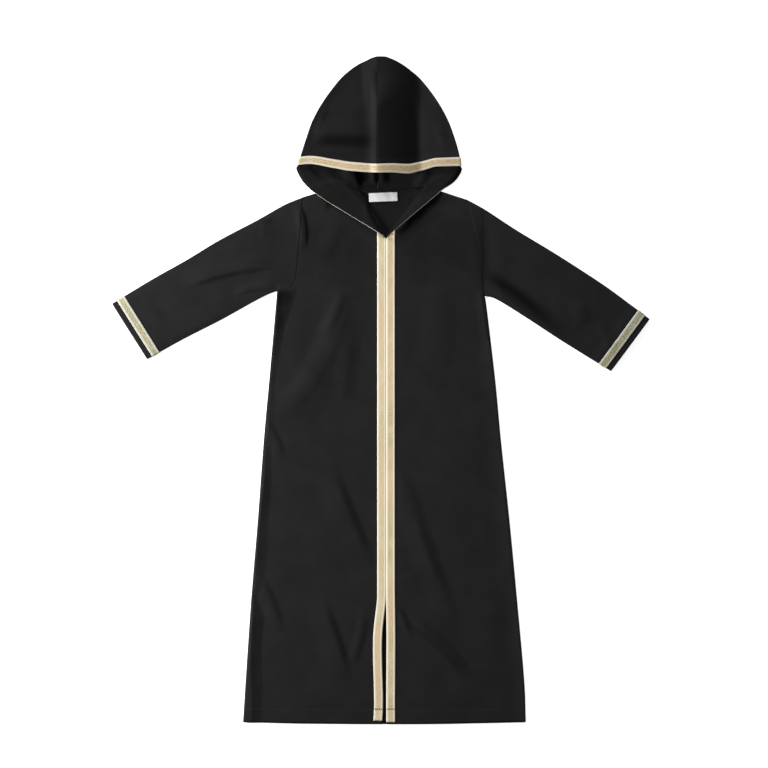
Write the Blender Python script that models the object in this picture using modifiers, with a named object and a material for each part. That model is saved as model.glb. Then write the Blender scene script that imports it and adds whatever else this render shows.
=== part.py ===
"""A child's hooded djellaba, laid flat on a surface with its front up.

Run in Blender 4.5. Lengths are in metres, +X is to the right, +Y runs from the hem to the hood
and +Z points up. The cloth is a thin wall: a flat back, two fronts that lie on it, sleeves that
are flattened tubes, and a hood whose halves fold over along its outline. Ribbon lies on the
front edges, round the cuffs and along the hood's free edge.
"""

import bmesh
import bpy
import numpy as np

# Thicknesses
CLOTH = 0.0012
RIBBON = 0.0010
LABEL = 0.0010
GAP = 0.0003

# Widths of ribbon and label, and how far in from the cuff its ribbon starts
RIBBON_WIDTH = 0.0150
LABEL_WIDTH = 0.0485
LABEL_DEPTH = 0.0150
CUFF_STRIP = 0.0100

# Air under the fronts and in the sleeves, and how far in from an edge air and folds build up
FRONT_AIR = 0.0014
SLEEVE_AIR = 0.0016
SWELL_POWER = 0.7
AIR_REACH = 0.050
FOLD_REACH = 0.020
SEAM_BLEND = 0.20
EDGE_SHARE = 0.17
EDGE_ROUND = 0.0007
BAND_MARGIN = 0.0035

# The fronts' underside at their edges, and what a ribbon lifts the cloth above it
FRONT_REST = CLOTH + GAP
RIBBON_LIFT = RIBBON + GAP
LIFT_RUN = 0.018
FLAP_SLACK = 0.0006
FLAP_LIFT = RIBBON_LIFT + FLAP_SLACK

# The hood's fold along its outline, and how high its crown stands at the seam above that fold;
# the crown reaches this height over the first share of the way from its top to its free edge
HOOD_FOLD_RADIUS = 0.0016
CROWN_HEIGHT = 0.0120
CROWN_RUN = 0.5

# The hood's lower layer climbs onto the fronts and onto its own ribbon over these distances
CLIMB_START = 0.022
CLIMB_RUN = 0.016
RIBBON_CLIMB_START = 0.030
RIBBON_CLIMB_RUN = 0.012

# Places on the centre line: the line itself, the slit's head, the rows at the chest and underarm,
# where the ribbons' ends start to slant, the hood's seam, and the foot of the neck seam
CENTRE = 0.0088
SLIT_HEAD = -0.3000
CHEST = 0.1500
UNDERARM_STEP = 0.0150
TRIM_SHOULDER = 0.2000
HOOD_SEAM = -0.0058
NECK_FOOT = 0.2625
RIBBON_PROUD = 0.0015

# Sides of the body, from the hem to the underarm: x, y
LEFT_SIDE = (
    (-0.2345, -0.5645),
    (-0.2300, -0.4926),
    (-0.2207, -0.3566),
    (-0.2094, -0.2206),
    (-0.1992, -0.0846),
    (-0.1899, 0.0174),
    (-0.1790, 0.1400),
    (-0.1766, 0.1704),
)
RIGHT_SIDE = (
    (0.2465, -0.5630),
    (0.2438, -0.4926),
    (0.2317, -0.3566),
    (0.2187, -0.2206),
    (0.2042, -0.0846),
    (0.1945, 0.0174),
    (0.1800, 0.1400),
    (0.1766, 0.1602),
)

# Armhole seams, from the underarm to the shoulder tip, in three stretches: x, y
LEFT_ARMHOLE = (
    ((-0.1766, 0.1704), (-0.1647, 0.1713), (-0.1528, 0.1755), (-0.1460, 0.1874)),
    ((-0.1460, 0.1874), (-0.1426, 0.2078), (-0.1392, 0.2469)),
    ((-0.1392, 0.2469), (-0.1350, 0.2979), (-0.1324, 0.3285)),
)
RIGHT_ARMHOLE = (
    ((0.1766, 0.1602), (0.1762, 0.1730), (0.1753, 0.1870)),
    ((0.1753, 0.1870), (0.1736, 0.2010), (0.1685, 0.2384)),
    ((0.1685, 0.2384), (0.1566, 0.2860), (0.1481, 0.3234)),
)

# How far the hem drops from its sides to its centre, the slit's two edges from the hem up, and
# the foot of each ribbon: x, y
HEM_DROP = 0.0036
LEFT_SLIT = ((0.0020, -0.5683), (0.0036, -0.5266), (0.0019, -0.4246), (0.0086, -0.3532))
RIGHT_SLIT = ((0.0092, -0.5683), (0.0091, -0.5266), (0.0096, -0.4246), (0.0090, -0.3532))
LEFT_RIBBON_FOOT = -0.5620
RIGHT_RIBBON_FOOT = -0.5643

# Neck points, where shoulder seam, neck seam and hood meet, and the back neck's lowest point
LEFT_NECK = (-0.0695, 0.3472)
RIGHT_NECK = (0.0750, 0.3472)
LEFT_NECK_BEND = (-0.0304, 0.3034)
RIGHT_NECK_BEND = (0.0440, 0.3062)
BACK_NECK_DIP = 0.3421

# Sleeve edges from the body to the cuff: x, y
LEFT_SLEEVE_TOP = (
    (-0.1324, 0.3285),
    (-0.1651, 0.3149),
    (-0.2103, 0.2894),
    (-0.2749, 0.2554),
    (-0.3312, 0.2214),
    (-0.3915, 0.1874),
    (-0.4573, 0.1473),
)
LEFT_SLEEVE_LOW = (
    (-0.1766, 0.1704),
    (-0.2110, 0.1534),
    (-0.2723, 0.1194),
    (-0.3388, 0.0854),
    (-0.3973, 0.0524),
)
RIGHT_SLEEVE_TOP = (
    (0.1481, 0.3234),
    (0.1787, 0.3064),
    (0.2307, 0.2724),
    (0.2871, 0.2384),
    (0.3408, 0.2044),
    (0.3915, 0.1704),
    (0.4573, 0.1211),
)
RIGHT_SLEEVE_LOW = (
    (0.1766, 0.1602),
    (0.1987, 0.1534),
    (0.2536, 0.1194),
    (0.3055, 0.0854),
    (0.3912, 0.0322),
)

# Hood outline from the apex to the corner of its free edge, then the free edge to the V: x, y
LEFT_HOOD = (
    (-0.0007, 0.5682),
    (-0.0085, 0.5679),
    (-0.0167, 0.5652),
    (-0.0240, 0.5614),
    (-0.0382, 0.5546),
    (-0.0530, 0.5444),
    (-0.0714, 0.5274),
    (-0.0971, 0.4934),
    (-0.1163, 0.4594),
    (-0.1285, 0.4254),
    (-0.1365, 0.3999),
    (-0.1421, 0.3829),
)
RIGHT_HOOD = (
    (-0.0007, 0.5682),
    (0.0075, 0.5679),
    (0.0160, 0.5650),
    (0.0245, 0.5614),
    (0.0365, 0.5546),
    (0.0505, 0.5444),
    (0.0695, 0.5274),
    (0.0955, 0.4934),
    (0.1144, 0.4594),
    (0.1270, 0.4254),
    (0.1338, 0.3999),
    (0.1360, 0.3812),
)
LEFT_FREE_EDGE = ((-0.1421, 0.3829), (-0.1438, 0.3753), (-0.1339, 0.3567), (-0.1196, 0.3410))
RIGHT_FREE_EDGE = ((0.1360, 0.3812), (0.1375, 0.3736), (0.1260, 0.3568), (0.1022, 0.3404))
LEFT_DIAGONAL = ((-0.1196, 0.3410), (-0.0865, 0.3183), (-0.0041, 0.2680), (0.0084, 0.2596))
RIGHT_DIAGONAL = ((0.1022, 0.3404), (0.0835, 0.3238), (0.0219, 0.2717), (0.0092, 0.2596))

# The crown's free edge: its height at the seam, and how far each half of it runs above or below
# a straight line from the seam to the outline: share of the way, distance
BAND_SEAM = 0.3677
LEFT_BAND_BOW = (
    (0.0, 0.0),
    (0.35, -0.0011),
    (0.51, 0.0005),
    (0.63, 0.0018),
    (0.75, 0.0036),
    (0.87, 0.0036),
    (1.0, 0.0),
)
RIGHT_BAND_BOW = (
    (0.0, 0.0),
    (0.20, -0.0018),
    (0.38, -0.0052),
    (0.50, -0.0026),
    (0.60, -0.0002),
    (0.70, 0.0026),
    (0.82, 0.0018),
    (1.0, 0.0),
)
CROWN_START = 0.5400
OUTLINE_EASE = 1.1

LABEL_CENTRE = (0.0040, 0.3285)
LABEL_TURN = 0.040

# Share of its height that a fold keeps at its ends, and how near an end it swells no more
FOLD_END_SHARE = 0.35
FOLD_END_REST = 0.06

# Folds in the fronts and sleeves: from x, y to x, y, half width, height
FOLDS = (
    (-0.0700, 0.1530, -0.1560, -0.0590, 0.034, 0.0030),
    (-0.0450, 0.0770, -0.0700, -0.0600, 0.024, 0.0016),
    (-0.0950, -0.1270, -0.0420, -0.2700, 0.028, 0.0026),
    (-0.1000, -0.3600, -0.0520, -0.4700, 0.026, 0.0034),
    (-0.1850, -0.1500, -0.2000, -0.2800, 0.022, 0.0024),
    (0.0600, -0.1500, 0.1200, -0.3850, 0.032, 0.0036),
    (0.0720, -0.3650, 0.1500, -0.4750, 0.030, 0.0034),
    (0.1300, 0.0800, 0.1800, -0.2600, 0.036, 0.0026),
    (0.1900, 0.1900, 0.2950, 0.1060, 0.034, 0.0042),
    (0.3200, 0.1700, 0.3500, 0.1450, 0.018, 0.0018),
    (-0.3200, 0.1840, -0.2000, 0.2080, 0.026, 0.0030),
    (-0.2700, 0.1560, -0.1850, 0.1760, 0.020, 0.0020),
)

# How finely the surfaces are divided
SIDE_ROWS = 32
ARMHOLE_ROWS = (4, 4, 6)
FRONT_COLUMNS = 14
SLEEVE_RINGS = 13
TRIM_ROWS = 44
TRIM_COLUMNS = 3
HOOD_ROWS = 13
CROWN_COLUMNS = 8
ARC_COLUMNS = 4
NECK_COLUMN = 4
FLOOR_COLUMNS = 10
EDGE_ROWS = 4
FLAP_ROWS = 9
BAND_ROWS = 4
DIAGONAL_COLUMNS = 14
FINE_STEPS = 120
OUTLINE_STEPS = 104
SPLINE_STEPS = 16
HEM_STEPS = 16
NECK_STEPS = 12
RING_SPREAD = 1.15

# Share of the free edge's lower stretch over which the ribbon turns to the flap's direction
CORNER_TURN = 0.25

# Linear colours, roughness and metallic value
BLACK_CLOTH = ((0.018, 0.018, 0.019), 0.88, 0.0)
GOLD_RIBBON = ((0.72, 0.60, 0.36), 0.48, 0.15)
WHITE_LABEL = ((0.80, 0.80, 0.78), 0.60, 0.0)


def smoothstep(t):
    t = np.clip(t, 0.0, 1.0)
    return t * t * (3.0 - 2.0 * t)


def spline(points, rows):
    """A Catmull-Rom curve through the points, as rows + 1 points at even steps along it."""
    points = np.array(points, float)
    ends = np.vstack([2 * points[0] - points[1], points, 2 * points[-1] - points[-2]])
    t = np.linspace(0.0, 1.0, SPLINE_STEPS, endpoint=False)[:, None]
    spans = []
    for a, b, c, d in zip(ends, ends[1:], ends[2:], ends[3:]):
        bend = (c - a) * t + (2 * a - 5 * b + 4 * c - d) * t**2 + (3 * b - a - 3 * c + d) * t**3
        spans.append(b + 0.5 * bend)
    dense = np.vstack([*spans, points[-1:]])
    run = np.append(0.0, np.cumsum(np.linalg.norm(np.diff(dense, axis=0), axis=1)))
    at = np.linspace(0.0, run[-1], rows + 1)
    return np.column_stack([np.interp(at, run, dense[:, i]) for i in range(dense.shape[1])])


def joined(stretches):
    """Curves end to end as one, with each shared point once."""
    return np.vstack([stretches[0]] + [stretch[1:] for stretch in stretches[1:]])


def ruled(first, last, columns):
    """A grid of points on the straight lines from each point of one curve to the other's."""
    t = np.linspace(0.0, 1.0, columns + 1)[None, :, None]
    return first[:, None, :] * (1.0 - t) + last[:, None, :] * t


def segment_distance(x, y, start, end):
    """Distance to a straight line between two points, and where along it the nearest one is."""
    dx, dy = end[0] - start[0], end[1] - start[1]
    t = ((x - start[0]) * dx + (y - start[1]) * dy) / (dx * dx + dy * dy)
    t = np.clip(t, 0.0, 1.0)
    return np.hypot(x - start[0] - t * dx, y - start[1] - t * dy), t


def folds(x, y):
    """Height of the soft ridges: each one swells and dies away along its line."""
    height = np.zeros(np.shape(x))
    for x0, y0, x1, y1, half_width, rise in FOLDS:
        distance, t = segment_distance(x, y, (x0, y0), (x1, y1))
        across = np.clip(1.0 - (distance / half_width) ** 2, 0.0, 1.0) ** 2
        swell = np.sin(np.pi * np.clip(t, FOLD_END_REST, 1.0 - FOLD_END_REST))
        height = height + rise * across * (FOLD_END_SHARE + (1.0 - FOLD_END_SHARE) * swell)
    return height


def lay(x, y):
    """Height of the fronts' underside: at rest on the back along the edges, with air inside."""
    sides = np.array(LEFT_SIDE), np.array(RIGHT_SIDE)
    left = np.interp(y, sides[0][:, 1], sides[0][:, 0])
    right = np.interp(y, sides[1][:, 1], sides[1][:, 0])
    shoulder = np.interp(
        x,
        (LEFT_ARMHOLE[2][2][0], LEFT_NECK[0], RIGHT_NECK[0], RIGHT_ARMHOLE[2][2][0]),
        (LEFT_ARMHOLE[2][2][1], LEFT_NECK[1], RIGHT_NECK[1], RIGHT_ARMHOLE[2][2][1]),
    )
    air = smoothstep((x - left) / AIR_REACH) * smoothstep((right - x) / AIR_REACH)
    air = air * smoothstep((shoulder - y) / AIR_REACH) * smoothstep((y - hem(x)) / AIR_REACH)
    inside = smoothstep((x - left) / FOLD_REACH) * smoothstep((right - x) / FOLD_REACH)
    return FRONT_REST + FRONT_AIR * air + folds(x, y) * inside


def hem(x):
    """The hem's height, lowest at the centre."""
    middle = 0.5 * (LEFT_SIDE[0][0] + RIGHT_SIDE[0][0])
    reach = 0.5 * (RIGHT_SIDE[0][0] - LEFT_SIDE[0][0])
    return LEFT_SIDE[0][1] - HEM_DROP * (1.0 - np.clip((x - middle) / reach, -1.0, 1.0) ** 2)


def back_neck():
    """The back neck's curve, from the left neck point over its lowest point to the right one."""
    return spline((LEFT_NECK, (HOOD_SEAM, BACK_NECK_DIP), RIGHT_NECK), NECK_STEPS)


def material(name, look):
    made = bpy.data.materials.new(name)
    made.use_nodes = True
    shader = made.node_tree.nodes["Principled BSDF"]
    colour, roughness, metallic = look
    shader.inputs["Base Color"].default_value = (*colour, 1.0)
    shader.inputs["Roughness"].default_value = roughness
    shader.inputs["Metallic"].default_value = metallic
    made.diffuse_color = (*colour, 1.0)
    return made


def part_object(name, mesh, look, collection):
    mesh.materials.append(material(name + "_material", look))
    part = bpy.data.objects.new(name, mesh)
    collection.objects.link(part)
    return part


def grid_faces(rows, columns, start=0):
    """Quads of a grid whose points are numbered along its rows."""
    faces = []
    for r in range(rows - 1):
        for c in range(columns - 1):
            a = start + r * columns + c
            faces.append((a, a + 1, a + columns + 1, a + columns))
    return faces


def raised_sheet(name, plan, underside, thickness, look, collection):
    """A sheet over a plan grid, with its underside at the given heights, drawn straight up."""
    rows, columns = plan.shape[:2]
    points = np.dstack([plan, underside]).reshape(-1, 3)
    mesh = bpy.data.meshes.new(name)
    mesh.from_pydata(points.tolist(), [], grid_faces(rows, columns))
    body = bmesh.new()
    body.from_mesh(mesh)
    raised = bmesh.ops.extrude_face_region(body, geom=body.faces[:])
    moved = [item for item in raised["geom"] if isinstance(item, bmesh.types.BMVert)]
    bmesh.ops.translate(body, verts=moved, vec=(0.0, 0.0, thickness))
    bmesh.ops.recalc_face_normals(body, faces=body.faces[:])
    body.to_mesh(mesh)
    body.free()
    return part_object(name, mesh, look, collection)


def solid_sheet(name, points, faces, thickness, look, collection):
    """A sheet given its thickness by Solidify, half to each side."""
    mesh = bpy.data.meshes.new(name)
    mesh.from_pydata(points.tolist(), [], faces)
    body = bmesh.new()
    body.from_mesh(mesh)
    bmesh.ops.recalc_face_normals(body, faces=body.faces[:])
    body.to_mesh(mesh)
    body.free()
    part = part_object(name, mesh, look, collection)
    wall = part.modifiers.new("wall", "SOLIDIFY")
    wall.thickness = thickness
    wall.offset = 0.0
    return part


def armhole(stretches):
    """The armhole seam's points, from the underarm to the shoulder tip."""
    return joined([spline(points, rows) for points, rows in zip(stretches, ARMHOLE_ROWS)])


def back_panel(collection):
    """The back: a flat outline with the hem, sides, armholes, shoulders and back neck."""
    left = joined([spline(LEFT_SIDE, SIDE_ROWS), armhole(LEFT_ARMHOLE)])
    right = joined([spline(RIGHT_SIDE, SIDE_ROWS), armhole(RIGHT_ARMHOLE)])
    neck = back_neck()[::-1]
    hem_x = np.linspace(LEFT_SIDE[0][0], RIGHT_SIDE[0][0], HEM_STEPS + 1)[1:-1]
    foot = np.column_stack([hem_x, hem(hem_x)])
    outline = np.vstack([foot, right, neck, left[::-1]])
    curve = bpy.data.curves.new("back_panel", "CURVE")
    curve.dimensions = "2D"
    curve.fill_mode = "BOTH"
    curve.extrude = CLOTH / 2
    line = curve.splines.new("POLY")
    line.points.add(len(outline) - 1)
    for point, (x, y) in zip(line.points, outline):
        point.co = (x, y, 0.0, 1.0)
    line.use_cyclic_u = True
    curve.materials.append(material("back_panel_material", BLACK_CLOTH))
    part = bpy.data.objects.new("back_panel", curve)
    part.location.z = CLOTH / 2
    collection.objects.link(part)


def centre_edge(slit, top, half, rows):
    """A front's centre edge, from the hem up: the slit's side, then straight to the top given."""
    centre = CENTRE + half * GAP / 2
    line = spline([*slit, (centre, SLIT_HEAD), (centre, 0.0), (centre, top)], rows)
    line[:, 0] = half * np.maximum(half * line[:, 0], half * centre)
    return line


def front(name, side_points, armhole_points, slit, neck_bend, neck_point, half, collection):
    """One front: rows ruled from the side and armhole to the centre edge and the neck seam."""
    centre = CENTRE + half * GAP / 2
    level = armhole_points[0][0][1] + UNDERARM_STEP
    outer = joined([spline(side_points, SIDE_ROWS), armhole(armhole_points)])
    inner = joined(
        [
            centre_edge(slit, CHEST, half, SIDE_ROWS),
            spline(((centre, CHEST), (centre, level)), ARMHOLE_ROWS[0]),
            spline(((centre, level), (centre, NECK_FOOT)), ARMHOLE_ROWS[1]),
            spline(((centre, NECK_FOOT), neck_bend, neck_point), ARMHOLE_ROWS[2]),
        ]
    )
    plan = ruled(outer, inner, FRONT_COLUMNS)
    plan[0, 1:, 1] = hem(plan[0, 1:, 0])
    raised_sheet(name, plan, lay(plan[..., 0], plan[..., 1]), CLOTH, BLACK_CLOTH, collection)


def front_trim(name, slit, diagonal, foot, half, collection):
    """Ribbon on a front, from the hood's ribbon at the V down to just above the hem."""
    centre = CENTRE + half * GAP / 2
    run = np.array(diagonal[-1]) - np.array(diagonal[-2])
    slope = abs(run[1] / run[0])
    top = diagonal[-1][1] - (RIBBON_PROUD + GAP) * np.hypot(1.0, slope)
    inner = centre_edge(slit, TRIM_SHOULDER, half, TRIM_ROWS)
    inner = np.vstack([inner, [centre, (TRIM_SHOULDER + top) / 2], [centre, top]])
    inner[0, 1] = foot
    outer = inner + np.array([half * RIBBON_WIDTH, 0.0])
    outer[-1, 1] = top + slope * RIBBON_WIDTH
    plan = ruled(inner, outer, TRIM_COLUMNS)
    underside = lay(plan[..., 0], plan[..., 1]) + CLOTH + GAP
    raised_sheet(name, plan, underside, RIBBON, GOLD_RIBBON, collection)


class Sleeve:
    """A flattened tube from the armhole to the cuff, measured by its distance from the cuff.

    Its edges start at the armhole seam's ends and its sections turn from the seam's curve into
    straight lines. The upper layer starts at the fronts' height and swells between its edges.
    """

    def __init__(self, top_points, low_points, armhole_points, half):
        seam = armhole(armhole_points)[::-1]
        along = np.gradient(seam, axis=0)
        along /= np.linalg.norm(along, axis=1)[:, None]
        outward = np.column_stack([along[:, 1], -along[:, 0]]) * -half
        self.seam = seam + outward * GAP
        run = np.append(0.0, np.cumsum(np.linalg.norm(np.diff(seam, axis=0), axis=1)))
        self.share = run / run[-1]
        self.top = spline([self.seam[0], *top_points[1:]][::-1], FINE_STEPS)
        self.low = spline([self.seam[-1], *low_points[1:]][::-1], FINE_STEPS)
        self.top_length = self.length(self.top)
        self.low_length = self.length(self.low)

    @staticmethod
    def length(line):
        return np.linalg.norm(np.diff(line, axis=0), axis=1).sum()

    @staticmethod
    def at(line, share):
        steps = np.linspace(0.0, 1.0, len(line))
        return np.array([np.interp(share, steps, line[:, 0]), np.interp(share, steps, line[:, 1])])

    def section(self, distance):
        """Plan points across the sleeve, and their underside heights, this far from the cuff."""
        q = distance / self.top_length
        low_share = q * (1.0 - (1.0 - self.low_length / self.top_length) * q)
        top = self.at(self.top, q)
        low = self.at(self.low, low_share * self.top_length / self.low_length)
        even = np.linspace(0.0, 1.0, len(self.share))
        share = (even * (1.0 - q) + self.share * q)[:, None]
        chord = self.seam[0] * (1.0 - self.share[:, None]) + self.seam[-1] * self.share[:, None]
        plan = top * (1.0 - share) + low * share + (self.seam - chord) * q**3
        away = smoothstep((1.0 - q) / SEAM_BLEND)
        swell = SLEEVE_AIR * (4.0 * even * (1.0 - even)) ** SWELL_POWER
        edge = smoothstep(even / EDGE_SHARE) * smoothstep((1.0 - even) / EDGE_SHARE)
        near = lay(plan[:, 0], plan[:, 1])
        far = FRONT_REST + swell + folds(plan[:, 0], plan[:, 1]) * edge
        return plan, near * (1.0 - away) + far * away

    def lift(self, distance):
        """How much the ribbon under the cuff raises the sleeve."""
        start = CUFF_STRIP + RIBBON_WIDTH + BAND_MARGIN
        return RIBBON_LIFT * smoothstep((start + LIFT_RUN - distance) / LIFT_RUN)

    def loop(self, distance, inset, out, wall):
        """One closed section: the edge, the upper layer, the other edge and the lower layer."""
        plan, rest = self.section(distance)
        across = (plan[-1] - plan[0]) / np.linalg.norm(plan[-1] - plan[0])
        lift = self.lift(distance)
        inner = plan.copy()
        inner[0] += across * (inset + EDGE_ROUND)
        inner[-1] -= across * (inset + EDGE_ROUND)
        upper = np.column_stack([inner, rest + lift + CLOTH - wall + out])
        lower = np.column_stack([inner, np.full(len(inner), lift + wall - out)])
        middle = lift + CLOTH + GAP / 2
        first = [*(plan[0] + across * (inset - out)), middle]
        last = [*(plan[-1] - across * (inset - out)), middle]
        return np.vstack([[first], upper, [last], lower[::-1]])


def tube(name, inner_loops, outer_loops, look, collection):
    """A closed wall between an inner and an outer skin, each a loft through its loops."""
    rings, points = len(inner_loops), len(inner_loops[0])
    body = bmesh.new()
    skins = []
    for loops in (inner_loops, outer_loops):
        skins.append([[body.verts.new(point) for point in loop] for loop in loops])
    inner, outer = skins
    for c in range(points):
        d = (c + 1) % points
        for r in range(rings - 1):
            body.faces.new((outer[r][c], outer[r + 1][c], outer[r + 1][d], outer[r][d]))
            body.faces.new((inner[r][c], inner[r][d], inner[r + 1][d], inner[r + 1][c]))
        for r in (0, rings - 1):
            body.faces.new((outer[r][c], outer[r][d], inner[r][d], inner[r][c]))
    bmesh.ops.recalc_face_normals(body, faces=body.faces[:])
    mesh = bpy.data.meshes.new(name)
    body.to_mesh(mesh)
    body.free()
    return part_object(name, mesh, look, collection)


def sleeve_and_cuff(side, sleeve, collection):
    """The sleeve's tube and the ribbon round its cuff."""
    steps = np.linspace(0.0, 1.0, SLEEVE_RINGS + 1) ** RING_SPREAD
    band = (0.0, CUFF_STRIP, CUFF_STRIP + RIBBON_WIDTH / 2, CUFF_STRIP + RIBBON_WIDTH)
    beyond = CUFF_STRIP + RIBBON_WIDTH + BAND_MARGIN
    rest = beyond + (sleeve.top_length - beyond) * steps
    distances = np.concatenate([band, rest])
    outer = [sleeve.loop(d, 0.0, 0.0, 0.0) for d in distances]
    inner = [sleeve.loop(d, 2 * EDGE_ROUND, 0.0, CLOTH) for d in distances]
    tube("sleeve_" + side, inner, outer, BLACK_CLOTH, collection)
    under = [sleeve.loop(d, 0.0, GAP, 0.0) for d in band[1:]]
    over = [sleeve.loop(d, 0.0, RIBBON_LIFT, 0.0) for d in band[1:]]
    tube("cuff_trim_" + side, under, over, GOLD_RIBBON, collection)


class Hood:
    """One half of the hood, as heights of the middle of its cloth over the plan."""

    def __init__(self, outline, free_edge, diagonal, neck_point, neck_bend, shoulder_tip, half):
        self.seam = HOOD_SEAM + half * GAP / 2
        self.outline = spline([(self.seam, outline[0][1]), *outline[1:]], OUTLINE_STEPS)
        self.outline_length = np.linalg.norm(np.diff(self.outline, axis=0), axis=1).sum()
        depth = np.linspace(RIBBON_WIDTH, 0.0, BAND_ROWS)
        self.band_rows = 1.0 - depth / (CROWN_START - BAND_SEAM)
        crown_rows = np.linspace(0.0, self.band_rows[0], HOOD_ROWS - BAND_ROWS + 2)
        self.rows = np.append(crown_rows[:-1], self.band_rows)
        self.bow = spline(RIGHT_BAND_BOW if half > 0 else LEFT_BAND_BOW, CROWN_COLUMNS)
        self.free_edge = spline(free_edge, EDGE_ROWS)
        self.diagonal = spline(diagonal, FLAP_ROWS)
        self.edge_line = np.vstack([self.free_edge, self.diagonal[1:]])
        self.neck_point = np.array(neck_point)
        self.neck_bend = np.array(neck_bend)
        self.shoulder_tip = np.array(shoulder_tip)
        self.half = half

    def edge_distance(self, x, y):
        """Distance to the free edge that lies below the corner."""
        nearest = np.full(np.shape(x), np.inf)
        for start, end in zip(self.edge_line, self.edge_line[1:]):
            nearest = np.minimum(nearest, segment_distance(x, y, start, end)[0])
        return nearest

    def outside_front(self, x, y):
        """How far a point lies above the shoulder seam or inside the neck seam."""
        above = (y - self.neck_point[1]) - (x - self.neck_point[0]) * (
            (self.neck_point[1] - self.shoulder_tip[1]) / (self.neck_point[0] - self.shoulder_tip[0])
        )
        run = self.neck_bend - self.neck_point
        inward = ((x - self.neck_point[0]) * -run[1] + (y - self.neck_point[1]) * run[0]) / np.hypot(*run)
        return np.hypot(np.maximum(above, 0.0), np.maximum(-self.half * inward, 0.0))

    def floor(self, x, y):
        """Height of the lower layer: on the ground, over the shoulder, and over its own ribbon."""
        over = smoothstep((CLIMB_START - self.outside_front(x, y)) / CLIMB_RUN)
        ribbon = smoothstep((RIBBON_CLIMB_START - self.edge_distance(x, y)) / RIBBON_CLIMB_RUN)
        return CLOTH / 2 + over * (lay(x, y) + CLOTH + GAP) + ribbon * FLAP_LIFT

    def row_ends(self, t):
        """The seam point and the outline point that a row runs between."""
        seam_y = CROWN_START + (BAND_SEAM - CROWN_START) * t
        band = self.band_rows[0]
        drop = max(1.0 - t, 0.0) * (CROWN_START - BAND_SEAM) / self.outline_length
        above = 1.0 - (1.0 - band) * (CROWN_START - BAND_SEAM) / self.outline_length
        run = 1.0 - drop if t > band else above * (t / band) ** OUTLINE_EASE
        steps = np.linspace(0.0, 1.0, len(self.outline))
        edge = np.array(
            [np.interp(run, steps, self.outline[:, 0]), np.interp(run, steps, self.outline[:, 1])]
        )
        return np.array([self.seam, seam_y]), edge

    def crown_air(self, t, q):
        """How far the crown stands above its fold: highest at the seam, nothing at the outline."""
        return CROWN_HEIGHT * smoothstep(t / CROWN_RUN) * (1.0 - q**2) ** 2

    def row(self, t, out):
        """One section, from the seam over the crown, round the fold and back to the seam.

        The result is moved out from the cloth's middle by the distance given, along the section.
        """
        seam, edge = self.row_ends(t)
        reach = np.linalg.norm(edge - seam)
        ahead = (edge - seam) / reach
        centre = edge - ahead * (HOOD_FOLD_RADIUS + CLOTH / 2)
        base = self.floor(*centre)
        q = np.linspace(0.0, 1.0, CROWN_COLUMNS + 1)[:, None]
        upper = seam * (1.0 - q) + centre * q
        upper[:, 1] += t**3 * np.interp(q[:, 0], self.bow[:, 0], self.bow[:, 1])
        rise = base + 2.0 * HOOD_FOLD_RADIUS + self.crown_air(t, q[:, 0]) + out
        crown = np.column_stack([upper, rise])
        turn = np.linspace(np.pi / 2, -np.pi / 2, ARC_COLUMNS + 2)[1:-1, None]
        round_plan = centre + ahead * np.cos(turn) * (HOOD_FOLD_RADIUS + out)
        round_rise = base + HOOD_FOLD_RADIUS + np.sin(turn) * (HOOD_FOLD_RADIUS + out)
        arc = np.column_stack([round_plan, round_rise])
        back = ruled(centre[None], seam[None], FLOOR_COLUMNS)[0]
        lower = np.column_stack([back, self.floor(back[:, 0], back[:, 1]) - out])
        return crown, arc, lower

    def neck_line(self):
        """Plan points from the flap's corner over the neck point to the nape."""
        corner = self.free_edge[-1]
        neck = self.neck_point + [0.0, GAP]
        nape = np.array([self.seam, BACK_NECK_DIP + GAP])
        shoulder = ruled(corner[None], neck[None], NECK_COLUMN)[0]
        back = ruled(neck[None], nape[None], FLOOR_COLUMNS - NECK_COLUMN)[0]
        curve = back_neck()
        back[:, 1] = np.interp(back[:, 0], curve[:, 0], curve[:, 1]) + GAP
        return joined([shoulder, back])

    def half_mesh(self):
        """All points and faces of this half: the folded rows, the nape, and the flap to the V."""
        points = np.array([np.vstack(self.row(t, 0.0)) for t in self.rows])
        faces = grid_faces(*points.shape[:2])
        points = points.reshape(-1, 3)
        count = len(points)
        previous = list(range(count - FLOOR_COLUMNS - 1, count))
        t = np.linspace(0.0, 1.0, EDGE_ROWS + 1)[1:, None, None]
        nape_rows = points[previous, :2][None] * (1.0 - t) + self.neck_line()[None] * t
        nape_rows[:, 0] = self.free_edge[1:]
        foot = (self.diagonal[-1][0], NECK_FOOT)
        neck_seam = spline((self.neck_point + [0.0, GAP], self.neck_bend, foot), FLAP_ROWS)
        flap_rows = ruled(self.diagonal, neck_seam, NECK_COLUMN)[1:]
        added = []
        for plan in [*nape_rows, *flap_rows]:
            current = list(range(count, count + len(plan)))
            faces.extend(zip(previous, previous[1:], current[1:], current))
            added.append(np.column_stack([plan, self.floor(plan[:, 0], plan[:, 1])]))
            count += len(plan)
            previous = current
        return np.vstack([points, *added]), faces

    def flap_room(self, line):
        """How much of the ribbon's width the flap has room for, along its free edge."""
        run = self.neck_bend - self.neck_point
        away = line - self.neck_point
        to_seam = np.abs(away[:, 0] * run[1] - away[:, 1] * run[0]) / np.hypot(*run)
        return np.clip(to_seam - GAP - EDGE_ROUND, RIBBON_PROUD, RIBBON_WIDTH - RIBBON_PROUD)

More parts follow.
